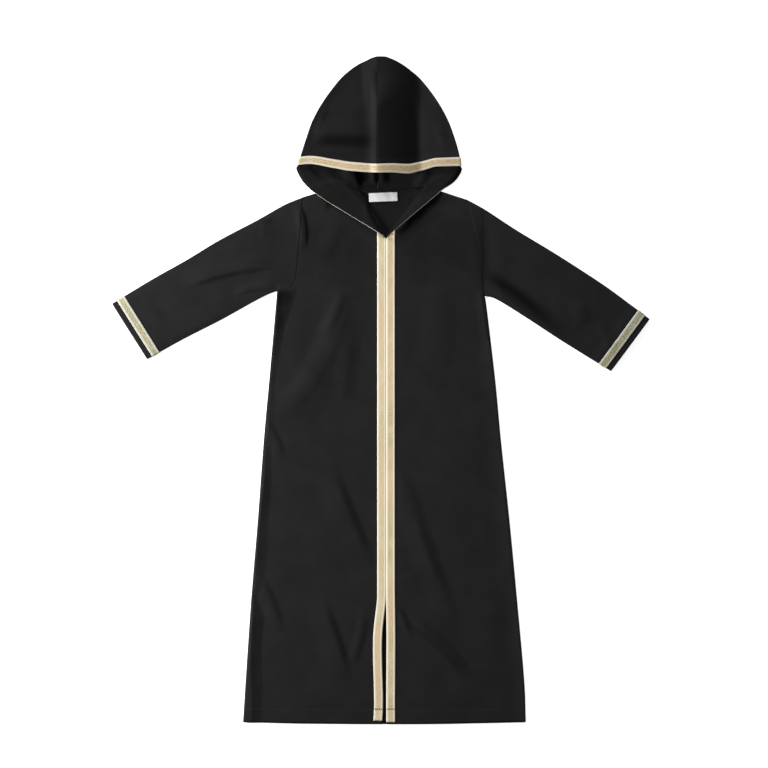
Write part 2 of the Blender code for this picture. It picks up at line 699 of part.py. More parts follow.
    def band(self):
        """Middle of the ribbon along the free edge: rows across it, from the seam to the V.

        Over the crown and round the fold it is made from the hood's own rows, moved out. Below the
        corner it lies under the flap, turns from the fold's direction to the flap's, and stands a
        little proud of the flap's edge.
        """
        out = CLOTH / 2 + GAP + RIBBON / 2
        steps = np.linspace(0.0, 1.0, DIAGONAL_COLUMNS + 1)[1:]
        line = spline(self.edge_line, DIAGONAL_COLUMNS)
        along = np.gradient(line, axis=0)[1:]
        line = line[1:]
        inward = np.column_stack([-along[:, 1], along[:, 0]]) * -self.half
        inward /= np.linalg.norm(inward, axis=1)[:, None]
        up = self.outline[-HOOD_ROWS] - self.outline[-1]
        turned = smoothstep(steps / CORNER_TURN)[:, None]
        heading = up / np.linalg.norm(up) * (1.0 - turned) + inward * turned
        heading /= np.linalg.norm(heading, axis=1)[:, None]
        proud = RIBBON_PROUD * smoothstep(steps / CORNER_TURN)
        room = self.flap_room(line)
        rows = []
        for t, share in zip(self.band_rows[::-1], np.linspace(0.0, 1.0, BAND_ROWS)):
            crown, arc, _ = self.row(t, out)
            inset = -proud + (room + proud) * share
            plan = line + heading * inset[:, None]
            under_cloth = line + heading * np.maximum(inset, 0.0)[:, None]
            height = self.floor(under_cloth[:, 0], under_cloth[:, 1]) - out - FLAP_SLACK
            rows.append(np.vstack([crown, arc, np.column_stack([plan, height])]))
        return np.array(rows)


def hood(left, right, collection):
    """Both halves and the one ribbon along their free edge."""
    for name, half in (("hood_left", left), ("hood_right", right)):
        points, faces = half.half_mesh()
        solid_sheet(name, points, faces, CLOTH, BLACK_CLOTH, collection)
    left_band, right_band = left.band(), right.band()
    grid = np.concatenate([left_band[:, ::-1], right_band[:, 1:]], axis=1)
    rows, columns = grid.shape[:2]
    faces = grid_faces(rows, columns)
    solid_sheet("hood_trim", grid.reshape(-1, 3), faces, RIBBON, GOLD_RIBBON, collection)


def neck_label(collection):
    """The bare label on the inside of the back, below the nape."""
    bpy.ops.mesh.primitive_cube_add(size=1.0, rotation=(0.0, 0.0, LABEL_TURN))
    part = bpy.context.object
    part.name = "neck_label"
    part.location = (*LABEL_CENTRE, CLOTH + GAP + LABEL / 2)
    part.scale = (LABEL_WIDTH, LABEL_DEPTH, LABEL)
    part.data.materials.append(material("neck_label_material", WHITE_LABEL))
    for owner in list(part.users_collection):
        owner.objects.unlink(part)
    collection.objects.link(part)


def main():
    for old in list(bpy.data.objects):
        bpy.data.objects.remove(old, do_unlink=True)
    collection = bpy.data.collections.new("djellaba")
    bpy.context.scene.collection.children.link(collection)
    back_panel(collection)
    front("front_left", LEFT_SIDE, LEFT_ARMHOLE, LEFT_SLIT, LEFT_NECK_BEND, LEFT_NECK, -1, collection)
    front("front_right", RIGHT_SIDE, RIGHT_ARMHOLE, RIGHT_SLIT, RIGHT_NECK_BEND, RIGHT_NECK, 1, collection)
    front_trim("front_trim_left", LEFT_SLIT, LEFT_DIAGONAL, LEFT_RIBBON_FOOT, -1, collection)
    front_trim("front_trim_right", RIGHT_SLIT, RIGHT_DIAGONAL, RIGHT_RIBBON_FOOT, 1, collection)
    left_sleeve = Sleeve(LEFT_SLEEVE_TOP, LEFT_SLEEVE_LOW, LEFT_ARMHOLE, -1)
    right_sleeve = Sleeve(RIGHT_SLEEVE_TOP, RIGHT_SLEEVE_LOW, RIGHT_ARMHOLE, 1)
    sleeve_and_cuff("left", left_sleeve, collection)
    sleeve_and_cuff("right", right_sleeve, collection)
    left_tip, right_tip = LEFT_ARMHOLE[2][2], RIGHT_ARMHOLE[2][2]
    left_hood = Hood(
        LEFT_HOOD, LEFT_FREE_EDGE, LEFT_DIAGONAL, LEFT_NECK, LEFT_NECK_BEND, left_tip, -1
    )
    right_hood = Hood(
        RIGHT_HOOD, RIGHT_FREE_EDGE, RIGHT_DIAGONAL, RIGHT_NECK, RIGHT_NECK_BEND, right_tip, 1
    )
    hood(left_hood, right_hood, collection)
    neck_label(collection)


main()
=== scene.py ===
"""A child's hooded djellaba of black crepe with gold and cream ribbon, laid flat, front up.

Each piece of cloth is a thin shell over the form of its solid, with its creases listed in tables.
Lengths are in metres: +X is to the right, +Y runs from the hem to the hood and +Z points up.
"""

import bpy
import numpy as np
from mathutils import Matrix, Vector


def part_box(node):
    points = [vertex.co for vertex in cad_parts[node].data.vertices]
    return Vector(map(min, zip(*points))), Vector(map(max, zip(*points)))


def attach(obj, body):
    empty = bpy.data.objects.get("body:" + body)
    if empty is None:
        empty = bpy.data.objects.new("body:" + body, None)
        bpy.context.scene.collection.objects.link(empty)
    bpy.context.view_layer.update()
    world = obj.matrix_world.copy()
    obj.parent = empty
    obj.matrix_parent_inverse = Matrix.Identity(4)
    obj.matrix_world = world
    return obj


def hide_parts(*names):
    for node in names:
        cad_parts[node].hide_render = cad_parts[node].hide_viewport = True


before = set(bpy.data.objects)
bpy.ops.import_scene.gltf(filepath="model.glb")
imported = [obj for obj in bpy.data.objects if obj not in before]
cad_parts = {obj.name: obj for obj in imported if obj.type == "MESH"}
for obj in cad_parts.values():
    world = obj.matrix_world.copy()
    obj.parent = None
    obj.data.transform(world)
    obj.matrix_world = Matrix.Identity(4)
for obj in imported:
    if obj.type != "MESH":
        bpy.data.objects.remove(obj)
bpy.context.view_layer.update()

bl_info = {
    "name": "Djellaba laid flat",
    "version": (1, 0, 0),
    "blender": (4, 5, 0),
    "location": "View3D > Sidebar > Djellaba",
    "description": "Builds a hooded djellaba laid flat, piece by piece",
    "category": "Add Mesh",
}

# Walls of the solids, cloth and ribbon, and the gap between pieces that touch; then how high the
# fronts rest, and how far a ribbon lifts the cloth over it, tight at a cuff and slack at the hood
WALL = 0.0012
RIBBON_WALL = 0.0010
GAP = 0.0003
FRONT_REST = WALL + GAP
RIBBON_LIFT = RIBBON_WALL + GAP
FLAP_SLACK = 0.0006
FLAP_LIFT = RIBBON_LIFT + FLAP_SLACK
RIBBON_WIDTH = 0.015

# Air under the fronts and in the sleeves, and how far in from an edge it builds up
FRONT_AIR = 0.0014
SLEEVE_AIR = 0.0016
AIR_REACH = 0.050

# Over what width the fronts' creases die away beside the side seams, the shoulders and the
# ribbons, the share of them left under the ribbons, and how far waves may sink below the rest
SIDE_CALM = 0.007
SHOULDER_CALM = 0.012
TRIM_CALM = 0.014
TRIM_SHARE = 0.15
WAVE_LIFT = 0.0006

# Sleeves: the share of the length that blends into the fronts, the share of the width over which
# the creases die away, the swell's power and the edges' rounding
SEAM_BLEND = 0.20
EDGE_SHARE = 0.10
SWELL_POWER = 0.7
EDGE_ROUND = 0.0007

# Cuffs: the strip of cloth before the ribbon, the room past it, and the run over which the ribbon's
# lift fades
CUFF_STRIP = 0.0100
BAND_MARGIN = 0.0035
LIFT_RUN = 0.018

# The hood's fold along its outline, and how its lower layer climbs onto the shoulder and onto its
# own ribbon: how far from there the climb starts, and over what run
HOOD_FOLD_RADIUS = 0.0016
CLIMB_START = 0.022
CLIMB_RUN = 0.016
RIBBON_CLIMB_START = 0.030
RIBBON_CLIMB_RUN = 0.012

# The line where the fronts meet and the hood's seam, as x; then heights: the slit's head, the
# chest, where the ribbons' tops begin to slant, and the foot of the neck seam
CENTRE = 0.0088
HOOD_SEAM = -0.0058
SLIT_HEAD = -0.3000
CHEST = 0.1500
TRIM_SHOULDER = 0.2000
NECK_FOOT = 0.2625

# The first step of the grid above the underarm, the room kept above a ribbon's foot, the hem's
# drop at the centre, and how far the hood's ribbon shows past the flap, left and right
UNDERARM_STEP = 0.0150
FOOT_CLEAR = 0.0005
HEM_DROP = 0.0036
RIBBON_PROUD = {-1: 0.0004, 1: 0.0015}

# Sewn edges meet in the finished garment: what is left between them, and the valley over a seam
SEAM_GAP = 0.00004
VALLEY_DEPTH = 0.00003
VALLEY_WIDTH = 0.0022

# The hem is turned up once: how far, how much the turned cloth lifts the front, over what run, and
# the grid's extra rows there
HEM_FOLD = 0.0255
HEM_LIFT = 0.0003
HEM_RUN = 0.0040
HEM_EXTRA_ROWS = (5.50, 5.61, 5.72, 5.83, 5.94, 6.06, 6.17, 6.28, 6.39, 6.50, 6.61)

# The hem's stitching: how far it stays from the side, from the ribbon and from the fold's edge
HEM_STITCH_SIDE = 0.004
HEM_STITCH_TRIM = 0.0085
HEM_STITCH_IN = 0.0012

# Stitches: how far in from a ribbon's edge; rings and sides of a thread's tube, and its girth at
# each ring; how deep its ends sink and how high it arches, in radii; and the share of the arch
# that is cut off at each end
STITCH_INSET = 0.0009
STITCH_RINGS = 4
STITCH_SIDES = 5
STITCH_GIRTH = (0.60, 1.0, 1.0, 0.60)
STITCH_SINK = 0.50
STITCH_ARCH = 1.1
STITCH_TIP = 0.08

# A bar tack: its thread's girth beside the stitches', its rows above the hem's fold; and the
# lowest height of any stitch
TACK_GIRTH = 3.2
TACK_ROWS = (0.0, 0.0012)
REST = 0.00003

# Sides of the body, from the hem to the underarm: x, y
LEFT_SIDE = (
    (-0.2345, -0.5645),
    (-0.2300, -0.4926),
    (-0.2207, -0.3566),
    (-0.2094, -0.2206),
    (-0.1992, -0.0846),
    (-0.1899, 0.0174),
    (-0.1790, 0.1400),
    (-0.1766, 0.1704),
)
RIGHT_SIDE = (
    (0.2465, -0.5630),
    (0.2438, -0.4926),
    (0.2317, -0.3566),
    (0.2187, -0.2206),
    (0.2042, -0.0846),
    (0.1945, 0.0174),
    (0.1800, 0.1400),
    (0.1766, 0.1602),
)

# Armhole seams, from the underarm to the shoulder tip, in three stretches: x, y
LEFT_ARMHOLE = (
    ((-0.1766, 0.1704), (-0.1647, 0.1713), (-0.1528, 0.1755), (-0.1460, 0.1874)),
    ((-0.1460, 0.1874), (-0.1426, 0.2078), (-0.1392, 0.2469)),
    ((-0.1392, 0.2469), (-0.1350, 0.2979), (-0.1324, 0.3285)),
)
RIGHT_ARMHOLE = (
    ((0.1766, 0.1602), (0.1762, 0.1730), (0.1753, 0.1870)),
    ((0.1753, 0.1870), (0.1736, 0.2010), (0.1685, 0.2384)),
    ((0.1685, 0.2384), (0.1566, 0.2860), (0.1481, 0.3234)),
)
LEFT_TIP, RIGHT_TIP = LEFT_ARMHOLE[2][2], RIGHT_ARMHOLE[2][2]

# The slit's two sides, from the hem up, and the foot of each ribbon
LEFT_SLIT = ((0.0020, -0.5683), (0.0036, -0.5266), (0.0019, -0.4246), (0.0086, -0.3532))
RIGHT_SLIT = ((0.0092, -0.5683), (0.0091, -0.5266), (0.0096, -0.4246), (0.0090, -0.3532))
LEFT_RIBBON_FOOT = -0.5620
RIGHT_RIBBON_FOOT = -0.5643

# Neck points, where shoulder seam, neck seam and hood meet, and the back neck's lowest point; the
# back's rows bend up to the shoulders and the neck by this power of their share of the height
LEFT_NECK = (-0.0695, 0.3472)
RIGHT_NECK = (0.0750, 0.3472)
LEFT_NECK_BEND = (-0.0304, 0.3034)
RIGHT_NECK_BEND = (0.0440, 0.3062)
BACK_NECK_DIP = 0.3421
UPPER_POWER = 8

# The hood's seam laps over the back's edge at the nape: how far, over what run along the edge, and
# how far up the lower layer rises to it
NAPE_LAP = 0.0010
LAP_RUN = 0.004
NAPE_RUN = 0.009

# Over what width the creases of the hood's inside die away beside its free edge, its seam and the
# nape, and how far above the neck's lowest point the nape's stretch begins
EDGE_CALM = 0.020
SEAM_CALM = 0.006
NAPE_CALM = 0.012
NAPE_CLEAR = 0.004

# On the left the flap rolls over the neck seam, along these points: how far in its crest lies, its
# fall beyond, its rise, the steep edge's width, where it starts, and its runs there and at the nape
LEFT_ROLL = ((-0.0420, 0.3425), (-0.0230, 0.3270), (-0.0125, 0.2975))
ROLL_CREST = 0.0090
ROLL_FALL = 0.036
ROLL_RISE = 0.0012
ROLL_EDGE = 0.0022
ROLL_HEAD = -0.0350
ROLL_RUN = 0.012
ROLL_TOP_RUN = 0.010

# The flap's ribboned edge curls up, most on the right: how far, over what width, from what height
# down, over what run, and how it ends at the V. The ribbon turns to the flap's direction over a
# share of the edge
CURLS = {-1: 0.0006, 1: 0.0066}
CURL_WIDTH = 0.026
CORNER_HEIGHT = 0.3420
CORNER_RUN = 0.022
V_CLEAR = 0.001
V_RUN = 0.010
CORNER_TURN = 0.25

# Sleeve edges from the body to the cuff: x, y
LEFT_SLEEVE_TOP = (
    (-0.1324, 0.3285),
    (-0.1651, 0.3149),
    (-0.2103, 0.2894),
    (-0.2749, 0.2554),
    (-0.3312, 0.2214),
    (-0.3915, 0.1874),
    (-0.4573, 0.1473),
)
LEFT_SLEEVE_LOW = (
    (-0.1766, 0.1704),
    (-0.2110, 0.1534),
    (-0.2723, 0.1194),
    (-0.3388, 0.0854),
    (-0.3973, 0.0524),
)
RIGHT_SLEEVE_TOP = (
    (0.1481, 0.3234),
    (0.1787, 0.3064),
    (0.2307, 0.2724),
    (0.2871, 0.2384),
    (0.3408, 0.2044),
    (0.3915, 0.1704),
    (0.4573, 0.1211),
)
RIGHT_SLEEVE_LOW = (
    (0.1766, 0.1602),
    (0.1987, 0.1534),
    (0.2536, 0.1194),
    (0.3055, 0.0854),
    (0.3912, 0.0322),
)

# Hood outline from the apex to the corner of its free edge, then the free edge to the V: x, y
LEFT_HOOD = (
    (-0.0007, 0.5682),
    (-0.0085, 0.5679),
    (-0.0167, 0.5652),
    (-0.0240, 0.5614),
    (-0.0382, 0.5546),
    (-0.0530, 0.5444),
    (-0.0714, 0.5274),
    (-0.0971, 0.4934),
    (-0.1163, 0.4594),
    (-0.1285, 0.4254),
    (-0.1365, 0.3999),
    (-0.1421, 0.3829),
)
RIGHT_HOOD = (
    (-0.0007, 0.5682),
    (0.0075, 0.5679),
    (0.0160, 0.5650),
    (0.0245, 0.5614),
    (0.0365, 0.5546),
    (0.0505, 0.5444),
    (0.0695, 0.5274),
    (0.0955, 0.4934),
    (0.1144, 0.4594),
    (0.1270, 0.4254),
    (0.1338, 0.3999),
    (0.1360, 0.3812),
)
LEFT_FREE_EDGE = ((-0.1421, 0.3829), (-0.1438, 0.3753), (-0.1339, 0.3567), (-0.1196, 0.3410))
RIGHT_FREE_EDGE = ((0.1360, 0.3812), (0.1375, 0.3736), (0.1260, 0.3568), (0.1022, 0.3404))
LEFT_DIAGONAL = ((-0.1196, 0.3410), (-0.0865, 0.3183), (-0.0041, 0.2680), (0.0084, 0.2596))
RIGHT_DIAGONAL = ((0.1022, 0.3404), (0.0835, 0.3238), (0.0219, 0.2717), (0.0092, 0.2596))

# The crown's lower edge: its height at the seam, and its bow, as the share of the way from the
# seam to the outline and the rise there
BAND_SEAM = 0.3677
LEFT_BAND_BOW = (
    (0.0, 0.0),
    (0.35, -0.0011),
    (0.51, 0.0005),
    (0.63, 0.0018),
    (0.75, 0.0036),
    (0.87, 0.0036),
    (1.0, 0.0),
)
RIGHT_BAND_BOW = (
    (0.0, 0.0),
    (0.20, -0.0018),
    (0.38, -0.0052),
    (0.50, -0.0026),
    (0.60, -0.0002),
    (0.70, 0.0026),
    (0.82, 0.0018),
    (1.0, 0.0),
)

# Height of the crown's first row at the seam, and the power that spreads the rows on the outline
CROWN_START = 0.5400
OUTLINE_EASE = 1.1

# Height of the crown's ridge at the seam; its narrow strip on the left and the strip's share of
# that height; on the right its straight flank, which widens from the crown to the band, how fast
# it widens, the power of its fall, the dip at its foot and the run up from there
RIDGE = 0.0175
STRIP_WIDTH = 0.014
STRIP_SHARE = 0.30
FLANK_AT_CROWN = 0.042
FLANK_AT_BAND = 0.073
FLANK_SPREAD = 2.2
FLANK_POWER = 1.30
FLANK_DIP = 0.0022
FLANK_RISE = 0.034

# How fast the crown rises from its first row, how far it sinks towards the band, and how fast its
# creases rise from the first row and from the fold
CROWN_RISE = 2.6
CROWN_SINK = 0.08
CREASE_RISE = 4.0
FOLD_RISE = 5.0

# Painted shade on the crepe, where light falls less: how much of the colour is left at full
# shade, and how much is left on the cloth's wrong side, painted shade where the inside shows, in the
# hood, at the nape and through the slit
PAINTED_SHADE_TONE = 0.24
WRONG_SIDE_SHADE = 0.66

# The hood's left half: how much painted shade it has, how much painted highlight the strip beside
# the seam has instead, how much wider that strip is at the crown, over what width it ends, and how
# fast it fades downwards
LEFT_PAINTED_SHADE = 0.50
STRIP_PAINTED_HIGHLIGHT = 0.45
STRIP_SPREAD = 0.010
STRIP_BLEND = 0.010
STRIP_FADE = 1.6

# Its right half, where shade is painted on the straight flank: how much at the seam, and, in
# shares of the flank, how far out it ends and over what run
FLANK_PAINTED_SHADE = 0.60
FLANK_SHADE_END = 1.02
FLANK_SHADE_RUN = 0.16

# Width of the painted shadow along the roll, and bands of painted shade outside and inside the hood,
# in the creases' terms; the last value is how strong the painted shade is
ROLL_SHADOW_WIDTH = 0.0080
HOOD_SHADE_BANDS = ((-0.1150, 0.4260, -0.0060, 0.4190, 0.002, 0.015, 0.017, 0.50),)
INSIDE_SHADE_BANDS = (
    (-0.0520, 0.3760, -0.0330, 0.3540, 0.000, 0.009, 0.010, 0.80),
    (-0.0390, 0.3620, -0.0262, 0.3220, -0.001, 0.007, 0.008, 1.00),
    (-0.0530, 0.3740, -0.0480, 0.3400, 0.000, 0.009, 0.009, 0.32),
    (0.0070, 0.3800, 0.0100, 0.3500, 0.000, 0.014, 0.014, 1.00),
)

# The stage: the sky, the floor's own light as on a light table and half its width, and the lights:
# name, place, size and power
SKY = 0.20
FLOOR_GLOW = 0.80
FLOOR_REACH = 6.0
LIGHTS = (
    ("key", (-1.82, 0.05, 0.84), 0.6, 58.0),
    ("top", (-1.60, 5.60, 2.20), 1.2, 270.0),
)

# The camera looks straight down: its lens and sensor in millimetres, the width that it sees at the
# height given, the middle of its view, and how far it sees
LENS = 85.0
SENSOR = 36.0
VIEW_WIDTH = 768 * 0.0017
VIEW_LEVEL = 0.004
VIEW_MIDDLE = (0.0053, 0.0106)
CLIP_END = 30.0

# The neck label: its turn in radians, its wall, how high its middle bows up, and its ripple's
# height and waves, in radians a metre along and across
LABEL_TURN = 0.040
LABEL_WALL = 0.0006
LABEL_BOW = 0.0006
LABEL_RIPPLE = 0.00012
LABEL_WAVES = (420.0, 180.0)

# Weaves: the crepe's thread, the twist of sewing thread, the label's rib and weft
CREPE_PITCH = 0.00062
TWIST_PITCH = 0.0005
LABEL_RIB = 0.0005
LABEL_WEFT = 0.0009

# The ribbon's weave, out from its middle: where gold turns to cream, the dark line there with its
# core and its whole half width; the chevrons' length and slant; the yarn's and the ribs' pitch
GOLD_ENDS = (0.0036, 0.0041)
LINE_PLACE = 0.0040
LINE_WIDTHS = (0.00015, 0.00050)
CHEVRON_LENGTH = 0.0034
CHEVRON_SLANT = 0.0040
YARN_PITCH = 0.00070
RIB_PITCH = 0.00085

# How finely the surfaces are divided: rows and rings along a piece, columns across it
SIDE_ROWS = 190
ARMHOLE_ROWS = (20, 22, 30)
FRONT_COLUMNS = 84
SLEEVE_RINGS = 120
TRIM_ROWS = 260
TRIM_COLUMNS = 8
HOOD_ROWS = 84
CROWN_COLUMNS = 56
ARC_COLUMNS = 8
NECK_COLUMN = 24
FLOOR_COLUMNS = 60
EDGE_ROWS = 20
FLAP_ROWS = 50
BAND_ROWS = 7
DIAGONAL_COLUMNS = 90
FINE_STEPS = 400
CURVE_STEPS = 48
NECK_ROWS = 72
VALLEY_ROWS = 5
TRIM_TOP_ROWS = 26
CUFF_RINGS = 12
BAND_RINGS = 9
HEM_STITCH_POINTS = 160
LABEL_COLUMNS = 60
LABEL_ROWS = 24

# A crease runs past the ends of its line and swells from there, both in shares of its length
CREASE_PAST = 0.12
CREASE_SWELL = 0.42

# Creases of the fronts and sleeves: from x, y to x, y, how far the line bows to its left,
# width of its left flank, width of its right flank, height
BODY_CREASES = (
    # left front
    (-0.0640, 0.1620, -0.1640, -0.0450, 0.016, 0.054, 0.032, 0.0038),
    (-0.0660, 0.1640, -0.0950, 0.1000, 0.002, 0.014, 0.012, 0.0018),
    (-0.0500, 0.0900, -0.0700, -0.0200, 0.004, 0.020, 0.026, 0.0016),
    (-0.0848, -0.1350, -0.0213, -0.2900, 0.000, 0.015, 0.040, 0.0034),
    (-0.1020, -0.3600, -0.0600, -0.4800, 0.002, 0.015, 0.040, 0.0036),
    (-0.0290, -0.3780, -0.0500, -0.4640, 0.003, 0.012, 0.012, 0.0018),
    (-0.2000, -0.0500, -0.1680, -0.1120, 0.003, 0.010, 0.018, 0.0024),
    (-0.2100, -0.3130, -0.1720, -0.4050, 0.003, 0.012, 0.022, 0.0026),
    (-0.1390, 0.3150, -0.1290, 0.2450, 0.004, 0.005, 0.016, 0.0032),
    (-0.1130, 0.3330, -0.0900, 0.3080, 0.002, 0.009, 0.014, 0.0030),
    (-0.0700, 0.2900, -0.1050, 0.2200, 0.003, 0.020, 0.024, 0.0014),
    (-0.1000, 0.2700, -0.0400, 0.2300, 0.004, 0.030, 0.024, 0.0014),
    # right front
    (0.0320, -0.1450, 0.1220, -0.3940, 0.000, 0.020, 0.034, 0.0030),
    (0.0600, -0.2250, 0.0980, -0.3250, -0.001, 0.009, 0.012, 0.0008),
    (0.0420, -0.3840, 0.1460, -0.4820, 0.004, 0.016, 0.026, 0.0048),
    (0.0360, -0.3800, 0.0560, -0.4200, 0.002, 0.012, 0.020, 0.0010),
    (0.1000, 0.1800, 0.0800, 0.0200, 0.004, 0.040, 0.034, 0.0014),
    (0.0400, 0.2900, 0.1000, 0.3150, -0.003, 0.012, 0.022, 0.0020),
    # left sleeve
    (-0.3250, 0.1800, -0.1880, 0.2110, 0.005, 0.032, 0.008, 0.0036),
    (-0.2450, 0.1650, -0.1830, 0.1760, 0.003, 0.014, 0.007, 0.0018),
    (-0.3050, 0.2180, -0.2300, 0.2380, 0.003, 0.022, 0.018, 0.0018),
    (-0.2140, 0.2880, -0.1850, 0.2920, 0.001, 0.012, 0.008, 0.0026),
    (-0.1940, 0.2840, -0.1970, 0.2560, 0.001, 0.012, 0.014, 0.0008),
    (-0.4100, 0.1500, -0.3700, 0.0950, 0.003, 0.020, 0.014, 0.0014),
    # right sleeve
    (0.1760, 0.1830, 0.3020, 0.0960, 0.002, 0.016, 0.016, 0.0026),
    (0.3300, 0.1500, 0.3450, 0.1100, 0.002, 0.020, 0.022, 0.0016),
    (0.2400, 0.2400, 0.4100, 0.1350, 0.004, 0.030, 0.022, 0.0016),
    (0.3700, 0.1100, 0.3950, 0.0600, 0.001, 0.016, 0.012, 0.0014),
)

# Thick side seams: a bead along each side, steep at the edge, with its crest a little in from
# there. Its places: y, height, the crest's distance from the edge, width of its inner flank
LEFT_BEADS = (
    (-0.5650, 0.0034, 0.0150, 0.016),
    (-0.5198, 0.0045, 0.0130, 0.018),
    (-0.4790, 0.0050, 0.0080, 0.020),
    (-0.4382, 0.0045, 0.0060, 0.018),
    (-0.3850, 0.0050, 0.0050, 0.020),
    (-0.3650, 0.0030, 0.0040, 0.012),
    (-0.3520, 0.0012, 0.0030, 0.006),
    (-0.3300, 0.0022, 0.0035, 0.014),
    (-0.2750, 0.0036, 0.0040, 0.018),
    (-0.2342, 0.0020, 0.0050, 0.014),
    (-0.1934, 0.0032, 0.0050, 0.014),
    (-0.1526, 0.0030, 0.0065, 0.012),
    (-0.1118, 0.0014, 0.0050, 0.010),
    (-0.0710, 0.0006, 0.0040, 0.010),
    (-0.0302, 0.0004, 0.0040, 0.010),
    (0.0106, 0.0012, 0.0030, 0.007),
    (0.0514, 0.0012, 0.0040, 0.010),
    (0.0700, 0.0026, 0.0030, 0.012),
    (0.0922, 0.0038, 0.0030, 0.014),
    (0.1100, 0.0046, 0.0030, 0.016),
    (0.1400, 0.0062, 0.0030, 0.024),
    (0.1800, 0.0070, 0.0030, 0.034),
)
RIGHT_BEADS = (
    (-0.5650, 0.0022, 0.0025, 0.020),
    (-0.4800, 0.0024, 0.0025, 0.024),
    (-0.3000, 0.0030, 0.0025, 0.030),
    (-0.1200, 0.0030, 0.0025, 0.034),
    (0.0000, 0.0026, 0.0025, 0.028),
    (0.0500, 0.0034, 0.0025, 0.024),
    (0.0800, 0.0026, 0.0040, 0.016),
    (0.1050, 0.0020, 0.0070, 0.014),
    (0.1700, 0.0020, 0.0070, 0.014),
)

# A bead's inner flank falls by this power, left and right. Its steep edge is this wide and reaches
# this share of its height, and it dies away over this run below the underarm
BEAD_POWERS = {-1: 1.15, 1: 2.0}
BEAD_EDGE = 0.0022
BEAD_START = 0.70
BEAD_END = 0.012

# The grid's columns nearest the side, and in how many each is split
SIDE_COLUMNS = 12
SIDE_SPLITS = 3

# Bands of painted shade on the fronts and sleeves, along creases and folds, in the creases' terms;
# the last value is how strong the painted shade is
PAINTED_SHADE_BANDS = (
    (-0.1520, 0.2350, -0.0300, 0.2250, 0.010, 0.070, 0.075, 0.26),
    (-0.1820, 0.1640, -0.1500, 0.1540, 0.002, 0.018, 0.022, 0.62),
    (-0.1740, 0.1680, -0.1740, 0.0980, 0.000, 0.012, 0.010, 0.50),
    (-0.1400, 0.3100, -0.1300, 0.2480, 0.003, 0.004, 0.007, 0.50),
    (-0.1180, 0.3270, -0.0960, 0.3100, 0.002, 0.006, 0.010, 0.35),
    (0.0250, 0.2250, 0.1550, 0.2550, 0.010, 0.070, 0.085, 0.31),
    (0.0220, 0.2610, 0.0860, 0.3140, 0.000, 0.010, 0.011, 0.85),
    (0.1680, 0.2900, 0.1735, 0.1950, 0.001, 0.019, 0.019, 0.50),
    (0.1640, 0.2030, 0.3060, 0.1000, 0.004, 0.022, 0.019, 0.68),
    (0.1820, 0.1950, 0.2700, 0.1330, 0.004, 0.013, 0.010, 0.36),
    (-0.0500, 0.1520, -0.1450, -0.0350, 0.016, 0.010, 0.012, 0.26),
    (-0.0520, 0.0800, -0.0640, -0.0150, 0.003, 0.010, 0.010, 0.24),
    (-0.0790, -0.1400, -0.0190, -0.2850, 0.000, 0.007, 0.009, 0.20),
    (0.0380, -0.1450, 0.1280, -0.3940, 0.000, 0.009, 0.009, 0.08),
    (0.0760, 0.3160, 0.1280, 0.3240, 0.002, 0.012, 0.014, 0.40),
    (0.0340, -0.3700, 0.0520, -0.4150, 0.001, 0.008, 0.009, 0.75),
    (0.0450, -0.3950, 0.1400, -0.4820, 0.005, 0.007, 0.008, 0.30),
    (-0.0960, -0.3600, -0.0540, -0.4800, 0.002, 0.007, 0.009, 0.30),
    (-0.2050, 0.2880, -0.1860, 0.2880, 0.001, 0.006, 0.008, 0.40),
    (-0.1960, 0.2860, -0.1970, 0.2600, 0.001, 0.004, 0.006, 0.40),
)

# Creases of the crown and of the hood's inside, in the same terms
CROWN_CREASES = (
    (-0.1200, 0.4330, -0.0120, 0.4230, 0.003, 0.036, 0.020, 0.0070),
    (-0.0950, 0.4900, -0.1150, 0.4300, 0.001, 0.010, 0.018, 0.0026),
    (-0.1050, 0.4080, -0.0300, 0.4010, 0.001, 0.012, 0.010, 0.0020),
    (-0.0900, 0.4900, -0.0300, 0.4600, 0.003, 0.030, 0.026, 0.0014),
    (0.0620, 0.5150, 0.0760, 0.4000, 0.004, 0.022, 0.016, 0.0016),
    (0.0950, 0.4500, 0.1150, 0.3980, 0.003, 0.018, 0.014, 0.0014),
)
INSIDE_CREASES = (
    (-0.0480, 0.3880, -0.0300, 0.3300, -0.003, 0.007, 0.024, 0.0085),
    (-0.0130, 0.3860, -0.0090, 0.3480, 0.001, 0.006, 0.012, 0.0044),
    (0.0000, 0.3860, 0.0030, 0.3500, 0.001, 0.012, 0.006, 0.0028),
    (-0.0640, 0.3780, -0.0610, 0.3320, 0.000, 0.013, 0.015, 0.0018),
    (0.0710, 0.3860, 0.0620, 0.3300, 0.001, 0.016, 0.016, 0.0022),
    (-0.1000, 0.3740, -0.0700, 0.3500, 0.002, 0.014, 0.010, 0.0018),
    (0.0800, 0.3760, 0.0560, 0.3480, 0.002, 0.012, 0.010, 0.0014),
)

# Long soft waves of the lying cloth: wavelength x, wavelength y, phase, height
WAVES = (
    (0.31, 0.47, 0.4, 0.00035),
    (-0.19, 0.33, 1.9, 0.00025),
    (0.12, 0.55, 3.1, 0.00020),
    (0.23, -0.14, 5.2, 0.00016),
    (-0.085, 0.21, 2.4, 0.00010),
)


def size_property(name, description, default, precision=4):
    """A size in metres that the sidebar shows."""
    return bpy.props.FloatProperty(
        name=name, description=description, default=default, unit="LENGTH", precision=precision
    )


def colour_property(name, description, default):
    """A linear colour that the sidebar shows."""
    return bpy.props.FloatVectorProperty(
        name=name, description=description, default=default, size=3, subtype="COLOR"
    )


